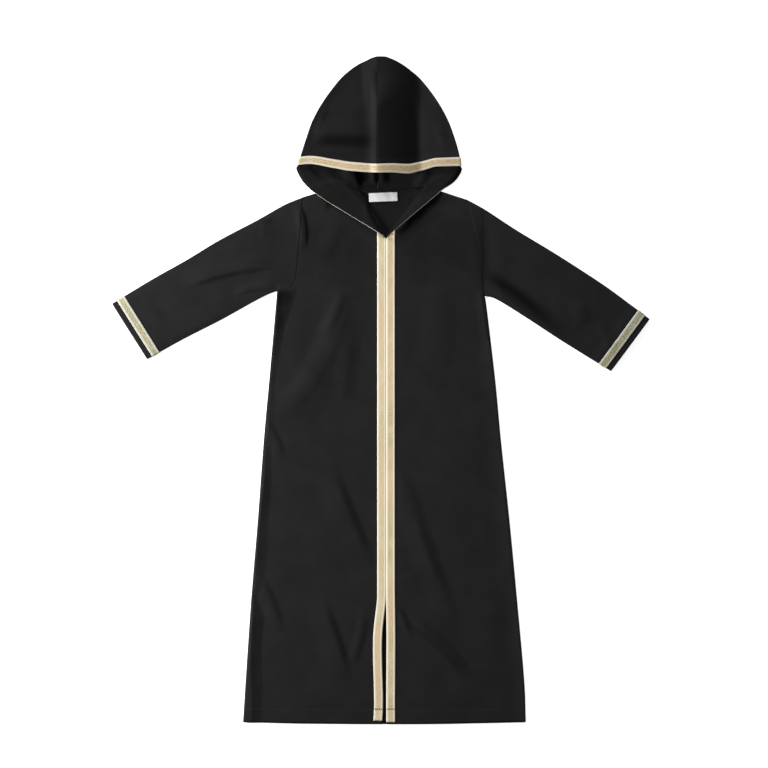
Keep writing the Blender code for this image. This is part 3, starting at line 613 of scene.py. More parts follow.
class DjellabaSizes(bpy.types.PropertyGroup):
    """Sizes of the cloth, ribbon, stitches and label."""

    cloth: size_property("Cloth", "Thickness of the crepe", 0.0009)
    ribbon: size_property("Ribbon", "Thickness of the ribbon", 0.0008)
    ribbon_width: size_property("Ribbon width", "Width of the woven ribbon", RIBBON_WIDTH)
    stitch: size_property("Stitch", "Length of one stitch", 0.0026)
    stitch_gap: size_property("Stitch gap", "Gap between stitches", 0.0008)
    thread: size_property("Thread", "Radius of the sewing thread", 0.00014, 5)
    label_width: size_property("Label width", "Width of the neck label", 0.0485)
    label_depth: size_property("Label depth", "Depth of the neck label", 0.0150)


class DjellabaColours(bpy.types.PropertyGroup):
    """Colours of the cloth, ribbon, threads, label and floor."""

    cloth: colour_property("Cloth", "Black crepe", (0.0146, 0.0144, 0.0148))
    gold: colour_property("Gold", "The ribbon's gold yarn", (0.62, 0.50, 0.27))
    cream: colour_property("Cream", "The ribbon's cream edges", (0.91, 0.79, 0.60))
    copper: colour_property("Copper", "Where the gold yarn looks warmer", (0.72, 0.52, 0.31))
    dull: colour_property("Dull", "Where the cream looks greener", (0.83, 0.82, 0.62))
    black_thread: colour_property("Black thread", "Thread of the hem", (0.010, 0.010, 0.011))
    cream_thread: colour_property("Cream thread", "Thread of the ribbons", (0.90, 0.82, 0.68))
    label: colour_property("Label", "The bare neck label", (0.80, 0.80, 0.79))
    floor: colour_property("Floor", "The pale floor", (0.90, 0.90, 0.90))


def smoothstep(t):
    """Runs from 0 to 1 as t does, level at both ends: three t squared less two t cubed."""
    t = np.clip(t, 0.0, 1.0)
    return t * t * (3.0 - 2.0 * t)


def length_run(points):
    """Length run along a line of points, from 0 at the first: the sum of the steps so far."""
    return np.append(0.0, np.cumsum(np.linalg.norm(np.diff(points, axis=0), axis=1)))


def path_length(points):
    """Length of a line of points: the sum of its steps."""
    return float(np.linalg.norm(np.diff(points, axis=0), axis=1).sum())


def spline(points, rows):
    """A Catmull-Rom curve through the points, as rows + 1 points at even steps along it.

    Between two points it is the cubic whose slope at each is half the step between its neighbours.
    """
    points = np.array(points, float)
    ends = np.vstack([2 * points[0] - points[1], points, 2 * points[-1] - points[-2]])
    t = np.linspace(0.0, 1.0, CURVE_STEPS, endpoint=False)[:, None]
    spans = []
    for a, b, c, d in zip(ends, ends[1:], ends[2:], ends[3:]):
        bend = (c - a) * t + (2 * a - 5 * b + 4 * c - d) * t**2 + (3 * b - a - 3 * c + d) * t**3
        spans.append(b + 0.5 * bend)
    dense = np.vstack([*spans, points[-1:]])
    run = length_run(dense)
    at = np.linspace(0.0, run[-1], rows + 1)
    return np.column_stack([np.interp(at, run, dense[:, i]) for i in range(dense.shape[1])])


def joined(stretches):
    """Curves end to end as one, with each shared point once."""
    return np.vstack([stretches[0]] + [stretch[1:] for stretch in stretches[1:]])


def along_line(line, share):
    """The point at a share of an evenly stepped line, read off between its points."""
    steps = np.linspace(0.0, 1.0, len(line))
    return np.array([np.interp(share, steps, line[:, 0]), np.interp(share, steps, line[:, 1])])


def ruled(first, last, columns):
    """A grid on the straight lines between two curves: first times 1 - t plus last times t."""
    t = np.linspace(0.0, 1.0, columns + 1)[None, :, None]
    return first[:, None, :] * (1.0 - t) + last[:, None, :] * t


def upwards(points):
    """A unit vector straight up for each point."""
    facing = np.zeros_like(points)
    facing[..., 2] = 1.0
    return facing


def line_distance(x, y, line):
    """Distance to a line of points: the least of the distances to its straight steps.

    The foot on a step is the projection of the point on it, kept between the step's ends.
    """
    nearest = np.full(np.shape(x), 1.0)
    for start, end in zip(line, line[1:]):
        dx, dy = end[0] - start[0], end[1] - start[1]
        t = ((x - start[0]) * dx + (y - start[1]) * dy) / (dx * dx + dy * dy)
        t = np.clip(t, 0.0, 1.0)
        nearest = np.minimum(nearest, np.hypot(x - start[0] - t * dx, y - start[1] - t * dy))
    return nearest


def creases(x, y, table):
    """Height of soft ridges with unlike flanks.

    With d the distance to the left of a bowed line and t the share of its length, a ridge is its
    height times the square of one less (d over the flank's width) squared, times a swell that
    rises from each end of the line.
    """
    height = np.zeros(np.shape(x))
    for x0, y0, x1, y1, bow, left, right, rise in table:
        dx, dy = x1 - x0, y1 - y0
        length = np.hypot(dx, dy)
        t = ((x - x0) * dx + (y - y0) * dy) / length**2
        side = ((y - y0) * dx - (x - x0) * dy) / length - bow * 4.0 * t * (1.0 - t)
        flank = np.where(side > 0.0, left, right)
        across = np.clip(1.0 - (side / flank) ** 2, 0.0, 1.0) ** 2
        first = smoothstep((t + CREASE_PAST) / CREASE_SWELL)
        last = smoothstep((1.0 + CREASE_PAST - t) / CREASE_SWELL)
        height = height + rise * across * (first * last)
    return height


def waves(x, y):
    """Long, soft waves of the lying cloth: a sum of sines along slanting lines."""
    height = np.zeros(np.shape(x))
    for wide, tall, phase, rise in WAVES:
        height = height + rise * np.sin(2 * np.pi * (x / wide + y / tall) + phase)
    return height


def bead(inside, y, half):
    """Height of a thick side seam, by the distance in from the side.

    It rises steeply at the edge and gently on to its crest, then falls as a power of one less the
    share of its inner flank. Height, crest and width are read off the table at each place.
    """
    places, *columns = np.array(LEFT_BEADS if half < 0 else RIGHT_BEADS).T
    height, crest, width = (np.interp(y, places, column) for column in columns)
    rise = BEAD_START * smoothstep(inside / BEAD_EDGE)
    rise = rise + (1.0 - BEAD_START) * smoothstep(inside / crest)
    fall = (1.0 - np.clip((inside - crest) / width, 0.0, 1.0)) ** BEAD_POWERS[half]
    top = np.interp(y, (places[-1] - BEAD_END, places[-1]), (1.0, 0.0))
    return height * rise * fall * top


def hem(x):
    """The hem's height, a parabola that is lowest at the centre."""
    middle = 0.5 * (LEFT_SIDE[0][0] + RIGHT_SIDE[0][0])
    reach = 0.5 * (RIGHT_SIDE[0][0] - LEFT_SIDE[0][0])
    return LEFT_SIDE[0][1] - HEM_DROP * (1.0 - np.clip((x - middle) / reach, -1.0, 1.0) ** 2)


def back_neck(x):
    """The back neck's height, read off the curve through its two ends and its lowest point."""
    curve = spline((LEFT_NECK, (HOOD_SEAM, BACK_NECK_DIP), RIGHT_NECK), NECK_ROWS)
    return np.interp(x, curve[:, 0], curve[:, 1])


def shoulder_line(x):
    """The shoulder seams' height, read off the straight lines between tips and neck points."""
    ends = np.array((LEFT_TIP, LEFT_NECK, RIGHT_NECK, RIGHT_TIP))
    return np.interp(x, ends[:, 0], ends[:, 1])


def side_x(y, side):
    """The body's side at a height, read off its points."""
    points = np.array(side)
    return np.interp(y, points[:, 1], points[:, 0])


def lay(x, y):
    """Height of the fronts' underside over the plan.

    It is the rest, plus air that builds up inside the edges, plus creases and waves where they are
    above it, plus the side seams' beads and the hem's lift, less the valleys over the seams.
    """
    left, right = side_x(y, LEFT_SIDE), side_x(y, RIGHT_SIDE)
    below = shoulder_line(x) - y
    air = smoothstep((x - left) / AIR_REACH) * smoothstep((right - x) / AIR_REACH)
    air = air * smoothstep(below / AIR_REACH) * smoothstep((y - hem(x)) / AIR_REACH)
    near = smoothstep((x - left) / SIDE_CALM) * smoothstep((right - x) / SIDE_CALM)
    near = near * smoothstep(below / SHOULDER_CALM)
    trim = smoothstep((np.abs(x - CENTRE) - RIBBON_WIDTH) / TRIM_CALM)
    relief = creases(x, y, BODY_CREASES) * (TRIM_SHARE + (1.0 - TRIM_SHARE) * trim)
    relief = relief + WAVE_LIFT + waves(x, y)
    beads = bead(x - left, y, -1) + bead(right - x, y, 1)
    turned = HEM_LIFT * smoothstep((hem(x) + HEM_FOLD - y) / HEM_RUN)
    raised = FRONT_REST + FRONT_AIR * air + np.maximum(relief, 0.0) * near + beads + turned
    return raised - seam_valley(x, y)


def seam_valley(x, y):
    """Depth of the valleys over the armhole seams: a bell of the distance to each seam."""
    depth = np.zeros(np.shape(x))
    for stretches in (LEFT_ARMHOLE, RIGHT_ARMHOLE):
        seam = joined([spline(points, VALLEY_ROWS) for points in stretches])
        depth = depth + VALLEY_DEPTH * np.exp(-((line_distance(x, y, seam) / VALLEY_WIDTH) ** 2))
    return depth


def finer(grid, extra):
    """A grid with extra rows at fractional places, each on the line between its neighbours."""
    at = np.sort(np.append(np.arange(len(grid)), extra))
    low = np.minimum(at.astype(int), len(grid) - 2)
    share = (at - low)[:, None, None]
    return grid[low] * (1.0 - share) + grid[low + 1] * share


def normals(grid):
    """Unit normals of a grid of points: the cross product of its two differences."""
    along = np.gradient(grid, axis=0)
    across = np.gradient(grid, axis=1)
    found = np.cross(along, across)
    size = np.linalg.norm(found, axis=2, keepdims=True)
    return found / np.maximum(size, 1e-12)


def metres_along(grid):
    """Cloth coordinates of a grid: the length run along its middle row and middle column."""
    rows, columns = grid.shape[:2]
    return np.dstack(np.meshgrid(length_run(grid[rows // 2]), length_run(grid[:, columns // 2])))


def grid_quads(rows, columns, wrap):
    """Corner numbers of a grid's quads, and the same with the last column kept apart for UVs."""
    wide = columns if wrap else columns - 1
    r, c = np.meshgrid(np.arange(rows - 1), np.arange(wide), indexing="ij")
    r, c = r.ravel(), c.ravel()
    kept = []
    for span, d in ((columns, (c + 1) % columns), (wide + 1, c + 1)):
        low, high = r * span, (r + 1) * span
        kept.append(np.column_stack([low + c, low + d, high + d, high + c]))
    return kept


def wall_mesh(name, outer, inner, uv, wrap=False):
    """A closed wall between two grids of points, outer and inner, with a flat rim along its edges.

    Both grids are taken as rows of points; with wrap, each row is a closed loop. The outer skin
    faces along the cross product of the rows' direction and the columns'.
    """
    rows, columns = outer.shape[:2]
    count = rows * columns
    quads, uv_quads = grid_quads(rows, columns, wrap)
    row, column = np.arange(columns), np.arange(rows) * columns
    edges = [(row, 1), (row + (rows - 1) * columns, -1)]
    if not wrap:
        edges += [(column, -1), (column + columns - 1, 1)]
    rims = []
    for line, way in edges:
        start, stop = (line, np.roll(line, -1)) if wrap else (line[:-1], line[1:])
        rim = np.column_stack([start, start + count, stop + count, stop])
        rims.append(rim if way > 0 else rim[:, ::-1])
    rims = np.vstack(rims)
    faces = np.vstack([quads, quads[:, ::-1] + count, rims])
    mesh = bpy.data.meshes.new(name)
    points = np.vstack([outer.reshape(-1, 3), inner.reshape(-1, 3)])
    mesh.vertices.add(len(points))
    mesh.vertices.foreach_set("co", points.ravel())
    mesh.loops.add(faces.size)
    mesh.loops.foreach_set("vertex_index", faces.ravel().astype(np.int32))
    mesh.polygons.add(len(faces))
    mesh.polygons.foreach_set("loop_start", np.arange(0, faces.size, 4, dtype=np.int32))
    smooth = np.ones(len(faces), bool)
    smooth[2 * len(quads):] = False
    mesh.polygons.foreach_set("use_smooth", smooth)
    flat = uv.reshape(-1, 2)
    skins = np.concatenate([uv_quads, uv_quads[:, ::-1]]).ravel()
    rim_uv = uv[:, :columns].reshape(-1, 2)[rims.ravel() % count]
    layer = mesh.uv_layers.new(name="cloth")
    layer.data.foreach_set("uv", np.vstack([flat[skins], rim_uv]).ravel())
    mesh.update(calc_edges=True)
    mesh.validate()
    return mesh


def point_uv(mesh, uv):
    """Gives each corner of a mesh the cloth coordinates of its point."""
    order = np.empty(len(mesh.loops), np.int32)
    mesh.loops.foreach_get("vertex_index", order)
    mesh.uv_layers.new(name="cloth").data.foreach_set("uv", uv[order].ravel())


def sheet_wall(name, top, thickness, uv=None):
    """A wall under a grid that faces up: its inner skin is the grid moved back along its normals."""
    facing = normals(top)
    if facing[..., 2].mean() < 0:
        top = top[:, ::-1]
        uv = None if uv is None else uv[:, ::-1]
        facing = -facing[:, ::-1]
    inner = top - facing * thickness
    return wall_mesh(name, top, inner, metres_along(top) if uv is None else uv)


def add_piece(name, mesh, surface, replaced=()):
    """Puts a mesh in the scene as a piece of the garment, which rides on the one body."""
    mesh.materials.append(surface)
    piece = bpy.data.objects.new(name, mesh)
    bpy.context.scene.collection.objects.link(piece)
    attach(piece, "root")
    if replaced:
        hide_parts(*replaced)
    return piece


def armhole(stretches):
    """The armhole seam's points, from the underarm to the shoulder tip."""
    return joined([spline(points, rows) for points, rows in zip(stretches, ARMHOLE_ROWS)])


def centre_edge(slit, top, half, rows):
    """A front's centre edge, from the hem up: the slit's side, then straight to the top given."""
    centre = CENTRE + half * SEAM_GAP / 2
    line = spline([*slit, (centre, SLIT_HEAD), (centre, 0.0), (centre, top)], rows)
    line[:, 0] = half * np.maximum(half * line[:, 0], half * centre)
    return line


def front_plan(side_points, armhole_points, slit, neck_bend, neck_point, half):
    """Plan of one front: rows ruled from side and armhole to the centre edge and the neck seam."""
    centre = CENTRE + half * SEAM_GAP / 2
    level = armhole_points[0][0][1] + UNDERARM_STEP
    outer = joined([spline(side_points, SIDE_ROWS), armhole(armhole_points)])
    inner = joined(
        [
            centre_edge(slit, CHEST, half, SIDE_ROWS),
            spline(((centre, CHEST), (centre, level)), ARMHOLE_ROWS[0]),
            spline(((centre, level), (centre, NECK_FOOT)), ARMHOLE_ROWS[1]),
            spline(((centre, NECK_FOOT), neck_bend, neck_point), ARMHOLE_ROWS[2]),
        ]
    )
    plan = ruled(outer, inner, FRONT_COLUMNS)
    plan[0, 1:, 1] = hem(plan[0, 1:, 0])
    extra = [k + s / SIDE_SPLITS for k in range(SIDE_COLUMNS) for s in range(1, SIDE_SPLITS)]
    return finer(finer(plan, HEM_EXTRA_ROWS).swapaxes(0, 1), extra).swapaxes(0, 1)


def trim_plan(slit, diagonal, foot, half, width):
    """Plan of the ribbon on a front, cut along the hood's edge at the V and square at its foot."""
    centre = CENTRE + half * SEAM_GAP / 2
    run = np.array(diagonal[-1]) - np.array(diagonal[-2])
    slope = abs(run[1] / run[0])
    top = diagonal[-1][1] - (RIBBON_PROUD[half] + GAP) * np.hypot(1.0, slope)
    edge = centre_edge(slit, TRIM_SHOULDER, half, TRIM_ROWS)
    start = [np.interp(foot, edge[:, 1], edge[:, 0]), foot]
    rise = np.linspace(TRIM_SHOULDER, top, TRIM_TOP_ROWS)[1:]
    straight = np.column_stack([np.full(len(rise), centre), rise])
    inner = np.vstack([start, edge[edge[:, 1] > foot + FOOT_CLEAR], straight])
    outer = inner + np.array([half * width, 0.0])
    share = smoothstep((outer[:, 1] - TRIM_SHOULDER) / (top - TRIM_SHOULDER))
    outer[:, 1] += share * slope * width
    return ruled(inner, outer, TRIM_COLUMNS)


class SleeveForm:
    """A flattened tube from the armhole to the cuff, measured by its distance from the cuff.

    A section is the straight line between the sleeve's two edges, bent towards the armhole seam
    by the cube of its share of the way there. The upper layer starts at the fronts' height, and
    out from there it swells as a power of the product of its shares to either edge.
    """

    def __init__(self, top_points, low_points, armhole_points, half):
        seam = armhole(armhole_points)[::-1]
        along = np.gradient(seam, axis=0)
        along /= np.linalg.norm(along, axis=1)[:, None]
        outward = np.column_stack([along[:, 1], -along[:, 0]]) * -half
        self.seam = seam + outward * SEAM_GAP
        run = length_run(seam)
        self.share = run / run[-1]
        self.top = spline([self.seam[0], *top_points[1:]][::-1], FINE_STEPS)
        self.low = spline([self.seam[-1], *low_points[1:]][::-1], FINE_STEPS)
        self.top_length = path_length(self.top)
        self.low_length = path_length(self.low)
        self.half = half

    def section(self, distance):
        """Plan points across the sleeve, and their underside heights, this far from the cuff."""
        q = distance / self.top_length
        low_share = q * (1.0 - (1.0 - self.low_length / self.top_length) * q)
        top = along_line(self.top, q)
        low = along_line(self.low, low_share * self.top_length / self.low_length)
        even = np.linspace(0.0, 1.0, len(self.share))
        share = (even * (1.0 - q) + self.share * q)[:, None]
        chord = self.seam[0] * (1.0 - self.share[:, None]) + self.seam[-1] * self.share[:, None]
        plan = top * (1.0 - share) + low * share + (self.seam - chord) * q**3
        away = smoothstep((1.0 - q) / SEAM_BLEND)
        swell = SLEEVE_AIR * (4.0 * even * (1.0 - even)) ** SWELL_POWER
        edge = smoothstep(even / EDGE_SHARE) * smoothstep((1.0 - even) / EDGE_SHARE)
        relief = creases(plan[:, 0], plan[:, 1], BODY_CREASES) + waves(plan[:, 0], plan[:, 1])
        near = lay(plan[:, 0], plan[:, 1])
        far = FRONT_REST + swell + np.maximum(relief + WAVE_LIFT, 0.0) * edge
        return plan, near * (1.0 - away) + far * away

    def lift(self, distance):
        """How much the ribbon under the cuff raises the sleeve."""
        start = CUFF_STRIP + RIBBON_WIDTH + BAND_MARGIN
        return RIBBON_LIFT * smoothstep((start + LIFT_RUN - distance) / LIFT_RUN)

    def loop(self, distance, inset, out, wall):
        """One closed section: the edge, the upper layer, the other edge and the lower layer."""
        plan, rest = self.section(distance)
        across = (plan[-1] - plan[0]) / np.linalg.norm(plan[-1] - plan[0])
        lift = self.lift(distance)
        inner = plan.copy()
        inner[0] += across * (inset + EDGE_ROUND)
        inner[-1] -= across * (inset + EDGE_ROUND)
        upper = np.column_stack([inner, rest + lift + WALL - wall + out])
        lower = np.column_stack([inner, np.full(len(inner), lift + wall - out)])
        middle = lift + WALL + GAP / 2
        first = [*(plan[0] + across * (inset - out)), middle]
        last = [*(plan[-1] - across * (inset - out)), middle]
        return np.vstack([[first], upper, [last], lower[::-1]])

    def loops(self, distances, inset, out, wall):
        """Sections at each distance as one array, wound so that their skin faces outwards."""
        made = np.array([self.loop(d, inset, out, wall) for d in distances])
        return made if self.half > 0 else made[:, ::-1]


class HoodForm:
    """One half of the hood, as heights of the middle of its cloth over the plan.

    A row runs from the seam over the crown to the outline, round the fold and back along the
    lower layer. Over the crown its height is a bell that falls from the ridge at the seam to the
    fold; round the fold it is a half circle.
    """

    def __init__(self, outline, free_edge, diagonal, neck_point, neck_bend, shoulder_tip, half):
        self.seam = HOOD_SEAM + half * SEAM_GAP / 2
        self.outline = spline([(self.seam, outline[0][1]), *outline[1:]], HOOD_ROWS * 4)
        self.outline_length = path_length(self.outline)
        self.width = bpy.context.scene.djellaba_sizes.ribbon_width
        depth = np.linspace(self.width, 0.0, BAND_ROWS)
        self.band_rows = 1.0 - depth / (CROWN_START - BAND_SEAM)
        crown_rows = np.linspace(0.0, self.band_rows[0], HOOD_ROWS - BAND_ROWS + 2)
        self.rows = np.append(crown_rows[:-1], self.band_rows)
        self.bow = spline(RIGHT_BAND_BOW if half > 0 else LEFT_BAND_BOW, CROWN_COLUMNS)
        self.free_edge = spline(free_edge, EDGE_ROWS)
        self.diagonal = spline(diagonal, FLAP_ROWS)
        self.edge_line = np.vstack([self.free_edge, self.diagonal[1:]])
        self.neck_point = np.array(neck_point)
        self.neck_bend = np.array(neck_bend)
        self.shoulder_tip = np.array(shoulder_tip)
        self.half = half

    def edge_distance(self, x, y):
        """Distance to the free edge that lies below the corner."""
        return line_distance(x, y, self.edge_line[::4])

    def outside_front(self, x, y):
        """How far a point lies off the fronts: above the shoulder seam, inside the neck seam or both.

        It is the hypotenuse of the rise over the one's line and the distance past the other's.
        """
        across, up = x - self.neck_point[0], y - self.neck_point[1]
        shoulder = self.neck_point - self.shoulder_tip
        above = up - across * (shoulder[1] / shoulder[0])
        run = self.neck_bend - self.neck_point
        inward = (across * -run[1] + up * run[0]) / np.hypot(*run)
        return np.hypot(np.maximum(above, 0.0), np.maximum(-self.half * inward, 0.0))

    def floor(self, x, y):
        """Height of the lower layer: on the ground, over the shoulder, and over its own ribbon.

        Each is a level times a smooth step of the distance to it, and the edge's curl is added.
        """
        over = smoothstep((CLIMB_START - self.outside_front(x, y)) / CLIMB_RUN)
        away = self.edge_distance(x, y)
        ribbon = smoothstep((RIBBON_CLIMB_START - away) / RIBBON_CLIMB_RUN)
        curl = CURLS[self.half] * smoothstep(1.0 - away / CURL_WIDTH)
        curl = curl * smoothstep((CORNER_HEIGHT - y) / CORNER_RUN)
        curl = curl * smoothstep((y - self.diagonal[-1][1] - V_CLEAR) / V_RUN)
        return WALL / 2 + over * (lay(x, y) + WALL + GAP) + ribbon * FLAP_LIFT + curl

    def inside_relief(self, x, y):
        """Creases of the hood's inside, dying away at its free edge, seam and nape."""
        away = smoothstep(self.edge_distance(x, y) / EDGE_CALM)
        seam = smoothstep(np.abs(x - self.seam) / SEAM_CALM)
        nape = smoothstep((y - BACK_NECK_DIP - NAPE_CLEAR) / NAPE_CALM)
        return creases(x, y, INSIDE_CREASES) * away * seam * nape

    def row_ends(self, t):
        """The seam point and the outline point that a row runs between.

        The first runs evenly down the seam. The second runs along the outline as a power of the
        row's share, down to the ribbon, whose rows are as far apart on the outline as on the seam.
        """
        seam_y = CROWN_START + (BAND_SEAM - CROWN_START) * t
        band = self.band_rows[0]
        drop = max(1.0 - t, 0.0) * (CROWN_START - BAND_SEAM) / self.outline_length
        above = 1.0 - (1.0 - band) * (CROWN_START - BAND_SEAM) / self.outline_length
        run = 1.0 - drop if t > band else above * (t / band) ** OUTLINE_EASE
        return np.array([self.seam, seam_y]), along_line(self.outline, run)

    def flank(self, t):
        """Width of the straight flank: it widens as a quarter of a sine, then runs level."""
        spread = np.sin(np.minimum(t * FLANK_SPREAD, 1.0) * np.pi / 2)
        return FLANK_AT_CROWN + (FLANK_AT_BAND - FLANK_AT_CROWN) * spread

    def nap(self, rows):
        """Painted shade on the outside of the hood.

        On the left half it is level beyond the strip beside the seam, plus the bands, and below zero it
        is a painted highlight in the strip near the crown. On the right it is painted shade that grows
        with the distance from the seam and ends with a smooth step at the flank's edge.
        """
        nap = np.zeros(rows.shape[:2])
        crown = nap[:, : CROWN_COLUMNS + 1]
        x, y = rows[:, : CROWN_COLUMNS + 1, 0], rows[:, : CROWN_COLUMNS + 1, 1]
        away = (x - self.seam) * self.half
        if self.half < 0:
            top = 1.0 - smoothstep(self.rows * STRIP_FADE)[:, None]
            beyond = smoothstep((away - STRIP_WIDTH - STRIP_SPREAD * top) / STRIP_BLEND)
            crown[:] = LEFT_PAINTED_SHADE * beyond - STRIP_PAINTED_HIGHLIGHT * top * (1.0 - beyond)
            crown += creases(x, y, HOOD_SHADE_BANDS)
        else:
            flank = self.flank(self.rows)[:, None]
            side = smoothstep((flank * FLANK_SHADE_END - away) / (FLANK_SHADE_RUN * flank))
            crown[:] = side * (FLANK_PAINTED_SHADE + (1.0 - FLANK_PAINTED_SHADE) * np.clip(away / flank, 0.0, 1.0))
        return nap

    def inner_painted_shade(self, x, y):
        """Painted shade on the lower layer: the bands, plus a painted shadow beside the roll, a smooth
        step of the distance to it.
        """
        nap = creases(x, y, INSIDE_SHADE_BANDS)
        if self.half < 0:
            nearest, inside = self.to_roll(x, y)
            nap = nap + (1.0 - smoothstep((nearest - ROLL_EDGE) / ROLL_SHADOW_WIDTH)) * inside
        return np.clip(nap, 0.0, 1.0)

    def crown_height(self, x, y, t, q):
        """The crown's height over its fold, by a row's share t and the share q of the way to the fold.

        It mixes a bell, the square of one less q squared, with a ridge at the seam: a smooth step
        over the strip on the left, and on the right one less a power of the share of the flank,
        with a dip at the flank's foot. Creases and waves are laid on it.
        """
        bell = (1.0 - q**2) ** 2
        away = np.abs(x - self.seam)
        if self.half < 0:
            share, ridge = STRIP_SHARE, 1.0 - smoothstep(away / STRIP_WIDTH)
        else:
            flank = self.flank(t)
            share = 1.0
            down = 1.0 - np.clip(away / flank, 0.0, 1.0) ** FLANK_POWER
            up = smoothstep((away - flank) / FLANK_RISE)
            ridge = down - (1.0 - down) * (1.0 - up) * FLANK_DIP / RIDGE
        rise = smoothstep(t * CROWN_RISE) * (1.0 - CROWN_SINK * t)
        valley = VALLEY_DEPTH * np.exp(-((away / VALLEY_WIDTH) ** 2))
        laid = (creases(x, y, CROWN_CREASES) + waves(x, y)) * smoothstep((1.0 - q) * FOLD_RISE)
        crown = RIDGE * rise * (share * ridge + (1.0 - share) * bell) - valley
        return crown + np.maximum(laid, -WAVE_LIFT) * smoothstep(t * CREASE_RISE)

    def row(self, t, out):
        """One section, moved out from the cloth's middle by the distance given."""
        seam, edge = self.row_ends(t)
        reach = np.linalg.norm(edge - seam)
        ahead = (edge - seam) / reach
        centre = edge - ahead * (HOOD_FOLD_RADIUS + WALL / 2)
        base = self.floor(*centre)
        q = np.linspace(0.0, 1.0, CROWN_COLUMNS + 1)[:, None]
        upper = seam * (1.0 - q) + centre * q
        upper[:, 1] += t**3 * np.interp(q[:, 0], self.bow[:, 0], self.bow[:, 1])
        height = self.crown_height(upper[:, 0], upper[:, 1], t, q[:, 0])
        crown = np.column_stack([upper, base + 2.0 * HOOD_FOLD_RADIUS + height + out])
        turn = np.linspace(np.pi / 2, -np.pi / 2, ARC_COLUMNS + 2)[1:-1, None]
        round_plan = centre + ahead * np.cos(turn) * (HOOD_FOLD_RADIUS + out)
        round_rise = base + HOOD_FOLD_RADIUS + np.sin(turn) * (HOOD_FOLD_RADIUS + out)
        arc = np.column_stack([round_plan, round_rise])
        back = ruled(centre[None], seam[None], FLOOR_COLUMNS)[0]
        low = self.rolled(back[:, 0], back[:, 1], self.floor(back[:, 0], back[:, 1]))
        low = low + self.inside_relief(back[:, 0], back[:, 1])
        return crown, arc, np.column_stack([back, low - out])

    def neck_line(self):
        """Plan points from the flap's corner over the neck point to the nape."""
        corner = self.free_edge[-1]
        neck = self.neck_point + [0.0, SEAM_GAP]
        nape = np.array([self.seam, BACK_NECK_DIP + SEAM_GAP])
        shoulder = ruled(corner[None], neck[None], NECK_COLUMN)[0]
        back = ruled(neck[None], nape[None], FLOOR_COLUMNS - NECK_COLUMN)[0]
        lap = smoothstep((back[:, 0] - neck[0]) * -self.half / LAP_RUN)
        back[:, 1] = back_neck(back[:, 0]) - NAPE_LAP * lap
        return joined([shoulder, back])

    def folded_grid(self):
        """Crown, fold and lower layer down to the nape, as one grid of the cloth's middle."""
        rows = np.array([np.vstack(self.row(t, 0.0)) for t in self.rows])
        last = rows[-1, -FLOOR_COLUMNS - 1:, :2]
        t = np.linspace(0.0, 1.0, EDGE_ROWS + 1)[1:, None, None]
        nape = last[None] * (1.0 - t) + self.neck_line()[None] * t
        nape[:, 0] = self.free_edge[1:]
        return rows, nape

    def flap_plan(self):
        """The flap below the neck line, ruled from the free edge to the neck seam."""
        return ruled(self.diagonal, self.flap_edge(), NECK_COLUMN)

    def flap_edge(self):
        """The flap's inner edge: the neck seam on the right, the roll over it on the left."""
        bends = (self.neck_bend,) if self.half > 0 else LEFT_ROLL
        foot = (self.diagonal[-1][0], NECK_FOOT)
        return spline((self.neck_point + [0.0, SEAM_GAP], *bends, foot), FLAP_ROWS)

    def to_roll(self, x, y):
        """Distance to the roll's edge, and how far a point lies within the roll's own stretch."""
        inside = smoothstep((BACK_NECK_DIP + NAPE_CLEAR - y) / ROLL_TOP_RUN)
        inside = inside * smoothstep((x - ROLL_HEAD) / ROLL_RUN)
        return line_distance(x, y, self.flap_edge()[::2]), inside

    def rolled(self, x, y, height):
        """The height given, with the lap at the nape and, on the left, the roll added.

        The roll rises steeply from its edge to its crest and falls gently beyond, and at its edge
        it comes down to the back.
        """
        lapped = WALL + GAP + WALL / 2
        nape = smoothstep(1.0 - (y - back_neck(x)) / NAPE_RUN)
        height = np.maximum(height, WALL / 2 + (lapped - WALL / 2) * nape)
        if self.half > 0:
            return height
        nearest, inside = self.to_roll(x, y)
        fall = 1.0 - smoothstep((nearest - ROLL_CREST) / ROLL_FALL)
        bell = smoothstep(nearest / ROLL_CREST) * fall
        down = (1.0 - smoothstep(nearest / ROLL_EDGE)) * inside
        height = height + ROLL_RISE * bell * inside
        return height * (1.0 - down) + np.minimum(height, lapped) * down

    def flap_room(self, line):
        """How much of the ribbon's width the flap has room for, along its free edge."""
        run = self.neck_bend - self.neck_point
        away = line - self.neck_point
        to_seam = np.abs(away[:, 0] * run[1] - away[:, 1] * run[0]) / np.hypot(*run)
        proud = RIBBON_PROUD[self.half]
        return np.clip(to_seam - GAP - EDGE_ROUND, proud, self.width - proud)

